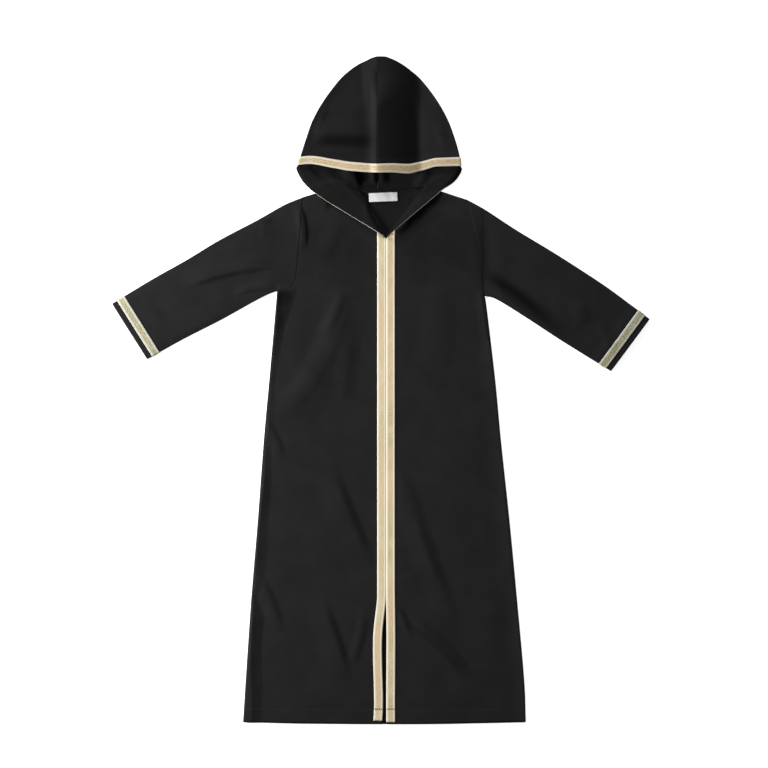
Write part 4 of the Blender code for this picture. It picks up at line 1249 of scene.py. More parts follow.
    def band(self, out):
        """Middle of the ribbon along the free edge: rows across it, from the seam to the V.

        Over the crown and round the fold it is the hood's own rows, moved out. Below the corner it
        lies under the flap, turns from the fold's direction to the flap's, and stands a little
        proud of the flap's edge.
        """
        steps = np.linspace(0.0, 1.0, DIAGONAL_COLUMNS + 1)[1:]
        line = spline(self.edge_line[::3], DIAGONAL_COLUMNS)
        along = np.gradient(line, axis=0)[1:]
        line = line[1:]
        inward = np.column_stack([-along[:, 1], along[:, 0]]) * -self.half
        inward /= np.linalg.norm(inward, axis=1)[:, None]
        up = self.outline[-HOOD_ROWS // 2] - self.outline[-1]
        turned = smoothstep(steps / CORNER_TURN)[:, None]
        heading = up / np.linalg.norm(up) * (1.0 - turned) + inward * turned
        heading /= np.linalg.norm(heading, axis=1)[:, None]
        proud = RIBBON_PROUD[self.half] * smoothstep(steps / CORNER_TURN)
        room = self.flap_room(line)
        rows = []
        for t, share in zip(self.band_rows[::-1], np.linspace(0.0, 1.0, BAND_ROWS)):
            crown, arc, _ = self.row(t, out)
            inset = -proud + (room + proud) * share
            plan = line + heading * inset[:, None]
            under_cloth = line + heading * np.maximum(inset, 0.0)[:, None]
            height = self.floor(under_cloth[:, 0], under_cloth[:, 1]) - out - FLAP_SLACK
            rows.append(np.vstack([crown, arc, np.column_stack([plan, height])]))
        return np.array(rows)


HOOD_SIDES = (
    ("left", (LEFT_HOOD, LEFT_FREE_EDGE, LEFT_DIAGONAL, LEFT_NECK, LEFT_NECK_BEND, LEFT_TIP, -1)),
    ("right", (RIGHT_HOOD, RIGHT_FREE_EDGE, RIGHT_DIAGONAL, RIGHT_NECK, RIGHT_NECK_BEND, RIGHT_TIP, 1)),
)
SLEEVE_SIDES = (
    ("left", (LEFT_SLEEVE_TOP, LEFT_SLEEVE_LOW, LEFT_ARMHOLE, -1)),
    ("right", (RIGHT_SLEEVE_TOP, RIGHT_SLEEVE_LOW, RIGHT_ARMHOLE, 1)),
)
FRONT_SIDES = (
    ("left", (LEFT_SIDE, LEFT_ARMHOLE, LEFT_SLIT, LEFT_NECK_BEND, LEFT_NECK, -1)),
    ("right", (RIGHT_SIDE, RIGHT_ARMHOLE, RIGHT_SLIT, RIGHT_NECK_BEND, RIGHT_NECK, 1)),
)
TRIM_SIDES = (
    ("left", (LEFT_SLIT, LEFT_DIAGONAL, LEFT_RIBBON_FOOT, -1)),
    ("right", (RIGHT_SLIT, RIGHT_DIAGONAL, RIGHT_RIBBON_FOOT, 1)),
)


class Nodes:
    """A short way to build one material's node tree."""

    def __init__(self, name, colour, roughness):
        self.material = bpy.data.materials.new(name)
        self.material.use_nodes = True
        self.tree = self.material.node_tree
        self.shader = self.tree.nodes["Principled BSDF"]
        self.shader.inputs["Base Color"].default_value = (*colour, 1.0)
        self.shader.inputs["Roughness"].default_value = roughness
        self.material.diffuse_color = (*colour, 1.0)
        self.coordinates = self.add("ShaderNodeUVMap", uv_map="cloth").outputs["UV"]

    def add(self, kind, links=None, values=None, **settings):
        """A node with its settings, its unlinked values and its links."""
        node = self.tree.nodes.new(kind)
        for key, value in settings.items():
            setattr(node, key, value)
        for key, value in (values or {}).items():
            node.inputs[key].default_value = value
        for key, source in (links or {}).items():
            self.tree.links.new(source, node.inputs[key])
        return node

    def put(self, socket, value):
        """Links another node's output to an input, or sets the input to a number or a colour."""
        if isinstance(value, bpy.types.NodeSocket):
            self.tree.links.new(value, socket)
        elif isinstance(value, (tuple, list)):
            socket.default_value = (*value[:3], 1.0)
        else:
            socket.default_value = value

    def maths(self, operation, first, second=0.0, third=0.0):
        """One Math node; each input is a number or another node's output."""
        node = self.add("ShaderNodeMath", operation=operation)
        for socket, value in zip(node.inputs, (first, second, third)):
            self.put(socket, value)
        return node.outputs[0]

    def wave(self, value, pitch):
        """A sine of a coordinate that repeats at the pitch."""
        return self.maths("SINE", self.maths("MULTIPLY", value, 2 * np.pi / pitch))

    def mix(self, factor, first, second):
        """A colour between two colours; each is a colour or another node's output."""
        node = self.add("ShaderNodeMix", data_type="RGBA")
        for socket, value in ((0, factor), (6, first), (7, second)):
            self.put(node.inputs[socket], value)
        return node.outputs[2]

    def scaled(self, colour, share):
        """A colour times a number, both other nodes' outputs."""
        links = {0: colour, "Scale": share}
        return self.add("ShaderNodeVectorMath", links, operation="SCALE").outputs[0]

    def noise(self, scale, detail=2.0, roughness=0.5, source=None):
        """Fine noise over the cloth coordinates, or over another node's output."""
        links = {"Vector": source if source is not None else self.coordinates}
        values = {"Scale": scale, "Detail": detail, "Roughness": roughness}
        return self.add("ShaderNodeTexNoise", links, values).outputs["Fac"]

    def parts(self):
        """The two cloth coordinates, in metres."""
        split = self.add("ShaderNodeSeparateXYZ", {"Vector": self.coordinates})
        return split.outputs["X"], split.outputs["Y"]

    def ramp(self, value, low, high):
        """Runs from 0 to 1 as the value runs from low to high."""
        node = self.add("ShaderNodeMapRange", {"Value": value}, {"From Min": low, "From Max": high})
        return node.outputs["Result"]

    def finish(self, colour=None, roughness=None, height=None, depth=0.0002, strength=0.6):
        """Links the colour, roughness and height that are given to the shader."""
        links = self.tree.links
        if colour is not None:
            links.new(colour, self.shader.inputs["Base Color"])
        if roughness is not None:
            links.new(roughness, self.shader.inputs["Roughness"])
        if height is not None:
            values = {"Distance": depth, "Strength": strength}
            bump = self.add("ShaderNodeBump", {"Height": height}, values)
            links.new(bump.outputs["Normal"], self.shader.inputs["Normal"])
        return self.material


def shaded(colour, share):
    """A colour times a number, which darkens it below 1 and lightens it above."""
    return tuple(c * share for c in colour)


def crepe_material(name):
    """Black crepe: a fine plain weave under a pebbled surface, with a faint mottle and some lint.

    Its colour is darkened by painted shade, from two values on the piece's own points: one for shade
    painted in bands and on the hood, which paints a highlight where it is below zero, and one for
    the wrong side, painted shade where the inside shows.
    """
    colour = tuple(bpy.context.scene.djellaba_colours.cloth)
    nodes = Nodes(name, colour, 0.82)
    nodes.shader.inputs["Specular IOR Level"].default_value = 0.06
    nodes.shader.inputs["Sheen Weight"].default_value = 0.03
    nodes.shader.inputs["Sheen Roughness"].default_value = 0.45
    u, v = nodes.parts()
    weave = nodes.maths("MULTIPLY", nodes.wave(u, CREPE_PITCH), nodes.wave(v, CREPE_PITCH))
    pebble = nodes.noise(1400.0, 2.0, 0.6)
    height = nodes.maths("ADD", nodes.maths("MULTIPLY", weave, 0.22), pebble)
    mottle = nodes.noise(22.0, 4.0, 0.6)
    fine, broad = nodes.maths("MULTIPLY", pebble, 0.35), nodes.maths("MULTIPLY", mottle, 0.65)
    grain = nodes.maths("ADD", fine, broad)
    shade = nodes.mix(nodes.ramp(grain, 0.35, 0.65), shaded(colour, 0.86), shaded(colour, 1.16))
    lint = nodes.ramp(nodes.noise(700.0, 1.0, 0.5), 0.80, 0.84)
    shade = nodes.mix(nodes.maths("MULTIPLY", lint, 0.35), shade, shaded(colour, 3.0))
    rough = nodes.maths("ADD", 0.78, nodes.maths("MULTIPLY", pebble, 0.12))
    # Painted shade: each point value darkens the colour towards the share left at full shade
    for key, left in (("nap", PAINTED_SHADE_TONE), ("wrong_side", WRONG_SIDE_SHADE)):
        value = nodes.add("ShaderNodeAttribute", attribute_name=key).outputs["Fac"]
        tone = nodes.maths("SUBTRACT", 1.0, nodes.maths("MULTIPLY", value, 1.0 - left))
        shade = nodes.scaled(shade, tone)
    return nodes.finish(shade, rough, height, 0.00016, 0.55)


def ribbon_material(name, palette, shift):
    """Woven ribbon: ribbed cream edges, and a middle of gold metal yarn in small chevrons.

    The first coordinate runs along the ribbon and the second across it from its middle. The
    chevrons are a sine of the two; flecks of dark and bright yarn come from fine noise, and a slow
    drift along the ribbon, moved by the shift, turns the middle to copper and the edges to green.
    """
    gold, cream, copper, dull, fleck_from = palette
    nodes = Nodes(name, gold, 0.5)
    nodes.shader.inputs["Specular IOR Level"].default_value = 0.40
    step = {1: (shift, 0.0, 0.0)}
    moved = nodes.add("ShaderNodeVectorMath", {0: nodes.coordinates}, step, operation="ADD").outputs[0]
    u, v = nodes.parts()
    across = nodes.maths("ABSOLUTE", v)
    edge = nodes.ramp(across, *GOLD_ENDS)
    off_line = nodes.maths("ABSOLUTE", nodes.maths("SUBTRACT", across, LINE_PLACE))
    line = nodes.maths("SUBTRACT", 1.0, nodes.ramp(off_line, *LINE_WIDTHS))
    along = nodes.maths("MULTIPLY", u, 2 * np.pi / CHEVRON_LENGTH)
    slant = nodes.maths("ADD", along, nodes.maths("MULTIPLY", across, 2 * np.pi / CHEVRON_SLANT))
    chevron = nodes.ramp(nodes.maths("SINE", slant), -0.45, 0.45)
    yarn = nodes.wave(v, YARN_PITCH)
    rib = nodes.wave(u, RIB_PITCH)
    fleck = nodes.noise(560.0, 2.0, 0.7, moved)
    drift = nodes.noise(26.0, 2.0, 0.5, moved)
    slow = nodes.noise(7.0, 1.0, 0.5, moved)
    middle = nodes.mix(chevron, shaded(gold, 0.72), shaded(gold, 1.20))
    paler = nodes.maths("MULTIPLY", nodes.ramp(drift, 0.44, 0.60), 0.5)
    middle = nodes.mix(paler, middle, shaded(cream, 0.88))
    warmer = nodes.maths("MULTIPLY", nodes.ramp(slow, 0.42, 0.60), 0.65)
    middle = nodes.mix(warmer, middle, copper)
    middle = nodes.mix(nodes.ramp(fleck, fleck_from, fleck_from + 0.07), middle, shaded(gold, 0.34))
    bright = tuple(min(1.0, c) for c in shaded(cream, 1.25))
    middle = nodes.mix(nodes.ramp(fleck, 0.38, 0.32), middle, bright)
    plain = nodes.mix(nodes.ramp(rib, -1.0, 1.0), shaded(cream, 0.90), cream)
    greener = nodes.maths("MULTIPLY", nodes.ramp(slow, 0.60, 0.40), 0.5)
    plain = nodes.mix(greener, plain, dull)
    shade = nodes.mix(edge, middle, plain)
    shade = nodes.mix(nodes.maths("MULTIPLY", line, 0.35), shade, shaded(gold, 0.62))
    glint = nodes.ramp(nodes.noise(2200.0, 1.0, 0.5), 0.55, 0.70)
    rough = nodes.maths("SUBTRACT", 0.60, nodes.maths("MULTIPLY", glint, 0.28))
    high, low = nodes.maths("MULTIPLY", chevron, 0.5), nodes.maths("MULTIPLY", yarn, 0.15)
    relief = nodes.maths("MULTIPLY", nodes.maths("ADD", high, low), nodes.maths("SUBTRACT", 1.0, edge))
    ribbed = nodes.maths("MULTIPLY", nodes.maths("MULTIPLY", rib, edge), 0.3)
    relief = nodes.maths("ADD", relief, ribbed)
    return nodes.finish(shade, rough, relief, 0.00025, 0.5)


def woven_ribbon(place):
    """The ribbon's material for one place: the fronts' left or right, the cuffs or the hood.

    A palette is gold, cream, copper, dull, where the dark flecks begin, and the drift's shift.
    """
    colours = bpy.context.scene.djellaba_colours
    gold, cream = tuple(colours.gold), tuple(colours.cream)
    copper, dull = tuple(colours.copper), tuple(colours.dull)
    palettes = {
        "left": ((0.68, 0.57, 0.35), cream, copper, dull, 0.60, 0.13),
        "right": (gold, cream, copper, dull, 0.58, 0.61),
        # The cuffs' palette is the same ribbon in darker, greyer colours: painted shade
        "cuff": (
            (0.42, 0.40, 0.20), (0.56, 0.53, 0.47), (0.38, 0.37, 0.22), (0.52, 0.52, 0.46), 0.51, 0.30
        ),
        "hood": (
            (0.55, 0.445, 0.23), (0.68, 0.59, 0.46), (0.58, 0.40, 0.22), (0.70, 0.65, 0.53), 0.54, 0.88
        ),
    }
    *palette, shift = palettes[place]
    return material_named(f"woven_ribbon_{place}", ribbon_material, palette, shift)


def thread_material(name, colour):
    """Sewing thread: two plies that twist along the stitch."""
    colour = tuple(colour)
    nodes = Nodes(name, colour, 0.6)
    u, v = nodes.parts()
    twist = nodes.wave(nodes.maths("ADD", u, v), TWIST_PITCH)
    shade = nodes.mix(nodes.ramp(twist, -1.0, 1.0), shaded(colour, 0.7), colour)
    return nodes.finish(shade, None, twist, 0.00005, 0.5)


def label_material(name):
    """Bare woven satin label: close ribs across it and a slightly greyer weft."""
    colour = tuple(bpy.context.scene.djellaba_colours.label)
    nodes = Nodes(name, colour, 0.55)
    u, v = nodes.parts()
    rib, weft = nodes.wave(v, LABEL_RIB), nodes.wave(u, LABEL_WEFT)
    mottle = nodes.noise(90.0, 3.0, 0.6)
    shade = nodes.mix(nodes.ramp(mottle, 0.3, 0.7), shaded(colour, 0.90), colour)
    height = nodes.maths("ADD", rib, nodes.maths("MULTIPLY", weft, 0.4))
    return nodes.finish(shade, None, height, 0.00006, 0.5)


def stitch_mesh(name, runs, thickness=1.0):
    """Rows of stitches: short threads, each a thin tube that dips at both ends.

    Each run is a path with its upward normals. Stitch k covers the stretch that starts at k times
    (length + gap). Its middle line is the path moved up by the radius times (a sine arch less the
    sink), and a ring of points runs round it at each step.
    """
    sizes = bpy.context.scene.djellaba_sizes
    length, gap, radius = sizes.stitch, sizes.stitch_gap, sizes.thread * thickness
    share = np.linspace(0.0, 1.0, STITCH_RINGS)
    turned = np.pi * (STITCH_TIP + (1.0 - 2 * STITCH_TIP) * share)
    arch = radius * (STITCH_ARCH * np.sin(turned) - STITCH_SINK)
    centres, ups, aheads = [], [], []
    for path, up in runs:
        run = length_run(path)
        count = int((run[-1] - gap) // (length + gap))
        spare = run[-1] - count * (length + gap)
        starts = np.arange(count) * (length + gap) + 0.5 * (spare + gap)
        at = starts[:, None] + share[None] * length
        centre = np.dstack([np.interp(at, run, path[:, i]) for i in range(3)])
        lift = np.dstack([np.interp(at, run, up[:, i]) for i in range(3)])
        centres.append(centre + lift * arch[None, :, None])
        ups.append(lift)
        aheads.append(np.gradient(centre, axis=1))
    centre, up, ahead = (np.concatenate(part) for part in (centres, ups, aheads))
    ahead /= np.linalg.norm(ahead, axis=2, keepdims=True)
    across = np.cross(ahead, up)
    across /= np.linalg.norm(across, axis=2, keepdims=True)
    over = np.cross(across, ahead)
    turn = np.linspace(0.0, 2 * np.pi, STITCH_SIDES, endpoint=False)[None, None, :, None]
    ring = across[:, :, None] * np.cos(turn) + over[:, :, None] * np.sin(turn)
    girth = radius * np.array(STITCH_GIRTH)
    points = centre[:, :, None] + ring * girth[None, :, None, None]
    points[..., 2] = np.maximum(points[..., 2], REST)
    count, rings, sides = points.shape[:3]
    base = (np.arange(count) * rings * sides)[:, None, None]
    r, s = np.meshgrid(np.arange(rings - 1), np.arange(sides), indexing="ij")
    t = (s + 1) % sides
    low, high = r * sides, (r + 1) * sides
    quads = np.stack([low + s, high + s, high + t, low + t], axis=-1)
    quads = (quads.reshape(1, -1, 4) + base).reshape(-1, 4)
    caps = np.stack([np.arange(sides), np.arange(sides)[::-1] + (rings - 1) * sides])
    caps = (caps[None] + base).reshape(-1, sides)
    mesh = bpy.data.meshes.new(name)
    points = points.reshape(-1, 3)
    mesh.from_pydata(points.tolist(), [], quads.tolist() + caps.tolist())
    point_uv(mesh, points[:, :2])
    mesh.polygons.foreach_set("use_smooth", np.ones(len(mesh.polygons), bool))
    mesh.update()
    return mesh


def add_stitches(name, runs, colour, thickness=1.0):
    """Adds rows of stitches in one thread colour, as a piece of its own."""
    shade = getattr(bpy.context.scene.djellaba_colours, f"{colour}_thread")
    thread = material_named(f"{colour}_thread", thread_material, shade)
    return add_piece(name, stitch_mesh(name, runs, thickness), thread)


def edge_runs(top, facing, width):
    """Two stitch paths on a ribbon, a little in from each long edge: a blend of its two outer rows.

    The grid's columns run across the ribbon.
    """
    share = STITCH_INSET / width * (top.shape[1] - 1)
    paths = []
    for edge, inner in ((0, 1), (-1, -2)):
        path = top[:, edge] * (1.0 - share) + top[:, inner] * share
        paths.append((path, facing[:, inner]))
    return paths


def material_named(name, make, *settings):
    """The material of that name, made at its first use."""
    return bpy.data.materials.get(name) or make(name, *settings)


def crepe():
    """The one material of all the cloth."""
    return material_named("black_crepe", crepe_material)


def mark(mesh, **values):
    """Gives each point of a mesh the named values, for its material."""
    for key, value in values.items():
        layer = mesh.attributes.new(key, "FLOAT", "POINT")
        layer.data.foreach_set("value", value.astype(np.float32))


def mark_painted_shade(mesh):
    """Gives a front or a sleeve its painted shade: the sum of the bands at each point of the mesh."""
    points = np.empty(len(mesh.vertices) * 3)
    mesh.vertices.foreach_get("co", points)
    x, y, _ = points.reshape(-1, 3).T
    nap = np.clip(creases(x, y, PAINTED_SHADE_BANDS), 0.0, 1.0)
    mark(mesh, nap=nap, wrong_side=np.zeros(len(nap)))


class DJELLABA_OT_back(bpy.types.Operator):
    """Adds the back: a flat sheet ruled between its two sides, its wrong side up.

    A high power of a row's share of the height bends the upper rows to the shoulders and the neck.
    """

    bl_idname = "djellaba.back"
    bl_label = "Back"

    def execute(self, context):
        left = joined([spline(LEFT_SIDE, SIDE_ROWS), armhole(LEFT_ARMHOLE)])
        right = joined([spline(RIGHT_SIDE, SIDE_ROWS), armhole(RIGHT_ARMHOLE)])
        plan = ruled(left, right, 2 * FRONT_COLUMNS)
        plan[0, :, 1] = hem(plan[0, :, 0])
        x = plan[-1, :, 0]
        inside = (x > LEFT_NECK[0]) & (x < RIGHT_NECK[0])
        top = np.where(inside, back_neck(x), shoulder_line(x))
        share = np.linspace(0.0, 1.0, len(plan))[:, None] ** UPPER_POWER
        plan[..., 1] += share * (top - plan[-1, :, 1])[None]
        surface = np.dstack([plan, np.full(plan.shape[:2], WALL)])
        mesh = sheet_wall("back_cloth", surface, WALL)
        # The upper skin is the wrong side, darkened as painted shade where the inside shows
        wrong = np.repeat([1.0, 0.0], len(mesh.vertices) // 2)
        mark(mesh, nap=np.zeros(len(wrong)), wrong_side=wrong)
        piece = add_piece("back_cloth", mesh, crepe(), ["back_panel"])
        return {"FINISHED"}


class DJELLABA_OT_fronts(bpy.types.Operator):
    """Adds both fronts, each a creased sheet over the back."""

    bl_idname = "djellaba.fronts"
    bl_label = "Fronts"

    def execute(self, context):
        sizes = context.scene.djellaba_sizes
        for side, shape in FRONT_SIDES:
            plan = front_plan(*shape)
            top = np.dstack([plan, lay(plan[..., 0], plan[..., 1]) + WALL])
            mesh = sheet_wall(f"front_cloth_{side}", top, sizes.cloth)
            mark_painted_shade(mesh)
            piece = add_piece(f"front_cloth_{side}", mesh, crepe(), [f"front_{side}"])
            half = shape[-1]
            sewn = add_stitches(f"hem_stitches_{side}", [self.hem_run(half)], "black")
        return {"FINISHED"}

    def hem_run(self, half):
        """Stitching of the turned-up hem, from the side to the ribbon, at the hem fold's height."""
        width = bpy.context.scene.djellaba_sizes.ribbon_width
        side = (LEFT_SIDE if half < 0 else RIGHT_SIDE)[0][0] - half * HEM_STITCH_SIDE
        x = np.linspace(side, CENTRE + half * (width + HEM_STITCH_TRIM), HEM_STITCH_POINTS)
        y = hem(x) + HEM_FOLD - HEM_STITCH_IN
        path = np.column_stack([x, y, lay(x, y) + WALL])
        return path, upwards(path)


class DJELLABA_OT_sleeves(bpy.types.Operator):
    """Adds both sleeves, each a flattened tube, with the ribbon round its cuff."""

    bl_idname = "djellaba.sleeves"
    bl_label = "Sleeves and cuffs"

    def execute(self, context):
        sizes = context.scene.djellaba_sizes
        for side, shape in SLEEVE_SIDES:
            form = SleeveForm(*shape)
            steps = np.linspace(0.0, 1.0, SLEEVE_RINGS + 1)
            beyond = CUFF_STRIP + sizes.ribbon_width + BAND_MARGIN
            near = np.linspace(0.0, beyond, CUFF_RINGS)[:-1]
            distances = np.concatenate([near, beyond + (form.top_length - beyond) * steps])
            outer = form.loops(distances, 0.0, 0.0, 0.0)
            inner = form.loops(distances, 2 * EDGE_ROUND, 0.0, sizes.cloth)
            mesh = wall_mesh(f"sleeve_cloth_{side}", outer, inner, tube_uv(outer), wrap=True)
            mark_painted_shade(mesh)
            piece = add_piece(f"sleeve_cloth_{side}", mesh, crepe(), [f"sleeve_{side}"])
            band = np.linspace(CUFF_STRIP, CUFF_STRIP + sizes.ribbon_width, BAND_RINGS)
            over = form.loops(band, 0.0, GAP + sizes.ribbon, 0.0)
            under = form.loops(band, 0.0, GAP, 0.0)
            uv = tube_uv(over)
            uv[..., 1] = np.linspace(-0.5, 0.5, len(band))[:, None] * sizes.ribbon_width
            name = f"cuff_ribbon_{side}"
            mesh = wall_mesh(name, over, under, uv, wrap=True)
            piece = add_piece(name, mesh, woven_ribbon("cuff"), [f"cuff_trim_{side}"])
            runs = self.cuff_runs(form, over)
            sewn = add_stitches(f"cuff_stitches_{side}", runs, "cream")
        return {"FINISHED"}

    def cuff_runs(self, form, over):
        """Stitch paths across the upper layer of the cuff's ribbon."""
        upper = len(form.share) + 1
        top = over[:, 1:upper] if form.half > 0 else over[:, -upper + 1:]
        across = np.swapaxes(top, 0, 1)
        width = bpy.context.scene.djellaba_sizes.ribbon_width
        return edge_runs(across, upwards(across), width)


def tube_uv(grid):
    """Cloth coordinates of closed loops: metres round the middle loop, and along the tube."""
    return metres_along(np.concatenate([grid, grid[:, :1]], axis=1))


class DJELLABA_OT_hood(bpy.types.Operator):
    """Adds both halves of the hood and the ribbon along its free edge."""

    bl_idname = "djellaba.hood"
    bl_label = "Hood"

    def execute(self, context):
        sizes = context.scene.djellaba_sizes
        forms = {side: HoodForm(*shape) for side, shape in HOOD_SIDES}
        for side, form in forms.items():
            mesh = hood_mesh(f"hood_cloth_{side}", form, sizes.cloth)
            piece = add_piece(f"hood_cloth_{side}", mesh, crepe(), [f"hood_{side}"])
        out = WALL / 2 + GAP + RIBBON_WALL / 2
        left, right = forms["left"].band(out), forms["right"].band(out)
        middle = np.concatenate([left[:, ::-1], right[:, 1:]], axis=1)
        facing = normals(middle)
        if facing[0, middle.shape[1] // 2, 2] < 0:
            middle, facing = middle[::-1], -facing[::-1]
        half = sizes.ribbon / 2
        uv = metres_along(middle)
        uv[..., 1] = np.linspace(-0.5, 0.5, len(middle))[:, None] * sizes.ribbon_width
        mesh = wall_mesh("hood_ribbon", middle + facing * half, middle - facing * half, uv)
        piece = add_piece("hood_ribbon", mesh, woven_ribbon("hood"), ["hood_trim"])
        top = np.swapaxes(middle + facing * half, 0, 1)
        runs = edge_runs(top, np.swapaxes(facing, 0, 1), sizes.ribbon_width)
        sewn = add_stitches("hood_ribbon_stitches", runs, "cream")
        return {"FINISHED"}


def hood_mesh(name, form, thickness):
    """One half of the hood as a single shell: the folded grid, the nape and the flap, welded.

    The three grids share the points along their common rows, and a wall is put round them all.
    """
    rows, nape = form.folded_grid()
    flap = form.flap_plan()
    lower = FLOOR_COLUMNS + 1
    columns = rows.shape[1]

    def raised(plan):
        x, y = plan[..., 0], plan[..., 1]
        return np.dstack([plan, form.rolled(x, y, form.floor(x, y)) + form.inside_relief(x, y)])

    points = [rows.reshape(-1, 3), raised(nape).reshape(-1, 3), raised(flap[1:]).reshape(-1, 3)]
    first = rows.shape[0] * columns
    grid = np.arange(first).reshape(rows.shape[:2])
    nape_grid = np.arange(nape.shape[0] * lower).reshape(nape.shape[:2]) + first
    nape_grid = np.vstack([grid[-1, -lower:], nape_grid])
    start = first + nape.shape[0] * lower
    flap_grid = np.arange((len(flap) - 1) * flap.shape[1]).reshape(len(flap) - 1, -1) + start
    flap_grid = np.vstack([nape_grid[-1, : NECK_COLUMN + 1], flap_grid])
    quads = []
    for table in (grid, nape_grid, flap_grid):
        corners = (table[:-1, :-1], table[:-1, 1:], table[1:, 1:], table[1:, :-1])
        quads.append(np.stack(corners, axis=-1).reshape(-1, 4))
    quads = np.vstack(quads)
    if form.half < 0:
        quads = quads[:, ::-1]
    mesh = bpy.data.meshes.new(name)
    every = np.vstack(points)
    mesh.from_pydata(every.tolist(), [], quads.tolist())
    point_uv(mesh, np.vstack([metres_along(rows).reshape(-1, 2), every[first:, :2]]))
    # The lower layer is the wrong side, darkened as painted shade for the hood's inside
    turned = np.ones(len(every))
    turned[:first].reshape(rows.shape[:2])[:, : columns - lower] = 0.0
    nap = form.inner_painted_shade(every[:, 0], every[:, 1])
    outside = turned[:first] == 0.0
    # The crown's points take the painted shade and painted highlight of the hood's outside
    nap[:first][outside] = form.nap(rows).ravel()[outside]
    mark(mesh, nap=nap, wrong_side=turned)
    mesh.polygons.foreach_set("use_smooth", np.ones(len(mesh.polygons), bool))
    mesh.update()
    made = bpy.data.objects.new(name, mesh)
    bpy.context.scene.collection.objects.link(made)
    wall = made.modifiers.new("wall", "SOLIDIFY")
    wall.thickness = thickness
    wall.offset = 0.0
    bpy.context.view_layer.update()
    graph = bpy.context.evaluated_depsgraph_get()
    whole = bpy.data.meshes.new_from_object(made.evaluated_get(graph))
    bpy.data.objects.remove(made)
    whole.name = name
    return whole


class DJELLABA_OT_front_ribbons(bpy.types.Operator):
    """Adds the ribbons down both front edges."""

    bl_idname = "djellaba.front_ribbons"
    bl_label = "Front ribbons"

    def execute(self, context):
        sizes = context.scene.djellaba_sizes
        for side, shape in TRIM_SIDES:
            plan = trim_plan(*shape, sizes.ribbon_width)
            rise = lay(plan[..., 0], plan[..., 1]) + WALL + GAP + sizes.ribbon
            top = np.dstack([plan, rise])
            along = length_run(top[:, 0])
            across = np.linspace(-0.5, 0.5, plan.shape[1]) * sizes.ribbon_width
            uv = np.dstack(np.meshgrid(along, across, indexing="ij"))
            name = f"front_ribbon_{side}"
            mesh = sheet_wall(name, top, sizes.ribbon, uv)
            piece = add_piece(name, mesh, woven_ribbon(side), [f"front_trim_{side}"])
            runs = edge_runs(top, upwards(top), sizes.ribbon_width)
            sewn = add_stitches(f"front_ribbon_stitches_{side}", runs, "cream")
            rows = [self.hem_run(top, aside) for aside in TACK_ROWS]
            tacks = add_stitches(f"hem_tacks_{side}", rows, "black", TACK_GIRTH)
        return {"FINISHED"}

    def hem_run(self, top, aside):
        """Where a row of the hem's stitching crosses a ribbon: a blend of the two rows beside it."""
        level = hem(CENTRE) + HEM_FOLD + aside
        row = int(np.searchsorted(top[:, 0, 1], level))
        share = (level - top[row - 1, 0, 1]) / (top[row, 0, 1] - top[row - 1, 0, 1])
        path = top[row - 1] * (1.0 - share) + top[row] * share
        return path, upwards(path)


class DJELLABA_OT_label(bpy.types.Operator):
    """Adds the bare label at the nape: a sheet that bows up between its ends as a cosine."""

    bl_idname = "djellaba.label"
    bl_label = "Neck label"

    def execute(self, context):
        sizes = context.scene.djellaba_sizes
        low, high = (np.array(corner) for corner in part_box("neck_label"))
        centre = 0.5 * (low + high)
        u = np.linspace(-0.5, 0.5, LABEL_COLUMNS + 1)[None, :] * sizes.label_width
        v = np.linspace(-0.5, 0.5, LABEL_ROWS + 1)[:, None] * sizes.label_depth
        x = centre[0] + u * np.cos(LABEL_TURN) - v * np.sin(LABEL_TURN)
        y = centre[1] + u * np.sin(LABEL_TURN) + v * np.cos(LABEL_TURN)
        bow = LABEL_BOW * np.cos(np.pi * u / sizes.label_width) * np.ones_like(v)
        ripple = LABEL_RIPPLE * np.sin(u * LABEL_WAVES[0] + v * LABEL_WAVES[1])
        top = np.dstack([x, y, high[2] + bow + ripple])
        uv = np.dstack(np.broadcast_arrays(u, v))
        mesh = sheet_wall("label_cloth", top, LABEL_WALL, uv.copy())
        satin = material_named("label_satin", label_material)
        piece = add_piece("label_cloth", mesh, satin, ["neck_label"])
        runs = edge_runs(top, upwards(top), sizes.label_width)
        sewn = add_stitches("label_stitches", runs, "cream")
        return {"FINISHED"}


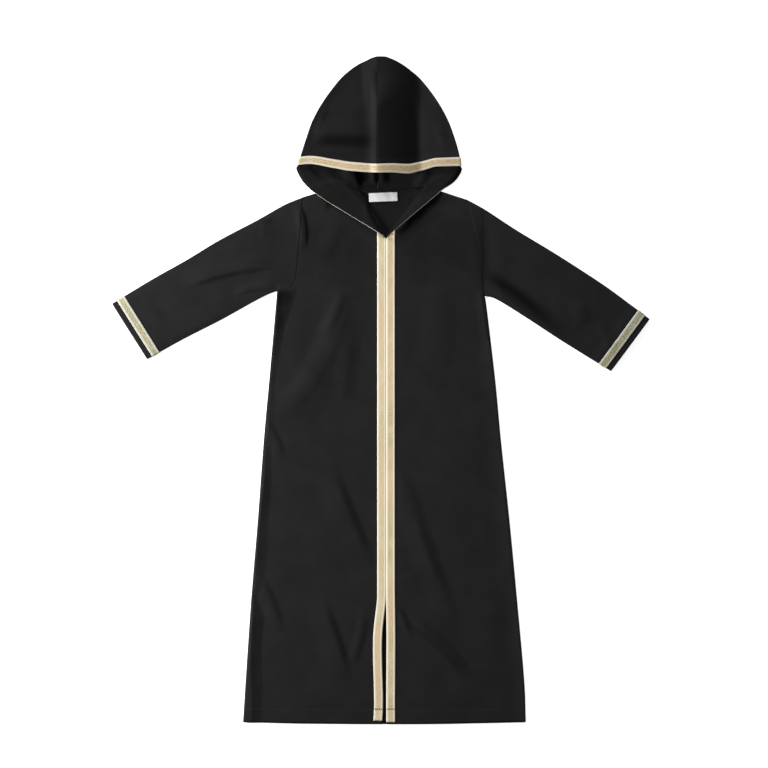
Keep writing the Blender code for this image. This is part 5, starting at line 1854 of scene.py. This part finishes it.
class DJELLABA_OT_stage(bpy.types.Operator):
    """Adds the pale floor, the soft lights and the camera straight above."""

    bl_idname = "djellaba.stage"
    bl_label = "Stage"

    def execute(self, context):
        scene = context.scene
        white = (1.0, 1.0, 1.0, 1.0)
        floor_mesh = bpy.data.meshes.new("floor")
        signs = ((-1, -1), (1, -1), (1, 1), (-1, 1))
        corners = [(FLOOR_REACH * x, FLOOR_REACH * y, 0.0) for x, y in signs]
        floor_mesh.from_pydata(corners, [], [(0, 1, 2, 3)])
        floor = bpy.data.objects.new("floor", floor_mesh)
        scene.collection.objects.link(floor)
        paint = bpy.data.materials.new("pale_floor")
        paint.use_nodes = True
        shader = paint.node_tree.nodes["Principled BSDF"]
        shader.inputs["Base Color"].default_value = (*scene.djellaba_colours.floor, 1.0)
        shader.inputs["Roughness"].default_value = 0.9
        shader.inputs["Specular IOR Level"].default_value = 0.1
        shader.inputs["Emission Color"].default_value = white
        shader.inputs["Emission Strength"].default_value = FLOOR_GLOW
        floor_mesh.materials.append(paint)
        world = bpy.data.worlds.new("studio")
        world.use_nodes = True
        sky = world.node_tree.nodes["Background"]
        sky.inputs["Color"].default_value = white
        sky.inputs["Strength"].default_value = SKY
        scene.world = world
        for light in LIGHTS:
            self.add_light(*light)
        camera_data = bpy.data.cameras.new("camera")
        camera_data.lens = LENS
        camera_data.sensor_width = SENSOR
        camera_data.clip_end = CLIP_END
        camera = bpy.data.objects.new("camera", camera_data)
        distance = 0.5 * VIEW_WIDTH / (0.5 * SENSOR / LENS)
        camera.location = (*VIEW_MIDDLE, distance + VIEW_LEVEL)
        scene.collection.objects.link(camera)
        scene.camera = camera
        scene.view_settings.view_transform = "Standard"
        return {"FINISHED"}

    def add_light(self, name, place, size, power):
        """A soft square light that looks at the garment's middle."""
        data = bpy.data.lights.new(name, "AREA")
        data.size = size
        data.energy = power
        light = bpy.data.objects.new(name, data)
        light.location = place
        light.rotation_euler = (-Vector(place)).to_track_quat("-Z", "Y").to_euler()
        bpy.context.scene.collection.objects.link(light)


class DJELLABA_PT_pieces(bpy.types.Panel):
    """Lists the garment's pieces in the 3D view's sidebar."""

    bl_label = "Djellaba"
    bl_idname = "DJELLABA_PT_pieces"
    bl_space_type = "VIEW_3D"
    bl_region_type = "UI"
    bl_category = "Djellaba"

    def draw(self, context):
        column = self.layout.column(align=True)
        for piece in OPERATORS:
            column.operator(piece.bl_idname)
        for group in (context.scene.djellaba_sizes, context.scene.djellaba_colours):
            box = self.layout.box()
            for key in group.__annotations__:
                box.prop(group, key)


OPERATORS = (
    DJELLABA_OT_stage,
    DJELLABA_OT_back,
    DJELLABA_OT_fronts,
    DJELLABA_OT_sleeves,
    DJELLABA_OT_hood,
    DJELLABA_OT_front_ribbons,
    DJELLABA_OT_label,
)
CLASSES = (DjellabaSizes, DjellabaColours, *OPERATORS, DJELLABA_PT_pieces)


def register():
    """Registers the classes and puts their properties on the scene."""
    for cls in CLASSES:
        bpy.utils.register_class(cls)
    bpy.types.Scene.djellaba_sizes = bpy.props.PointerProperty(type=DjellabaSizes)
    bpy.types.Scene.djellaba_colours = bpy.props.PointerProperty(type=DjellabaColours)


def unregister():
    """Takes back what register put in place."""
    del bpy.types.Scene.djellaba_colours
    del bpy.types.Scene.djellaba_sizes
    for cls in reversed(CLASSES):
        bpy.utils.unregister_class(cls)


def main():
    """Builds the stage and every piece."""
    register()
    for operator in OPERATORS:
        group, name = operator.bl_idname.split(".")
        getattr(getattr(bpy.ops, group), name)()


if __name__ == "__main__":
    main()
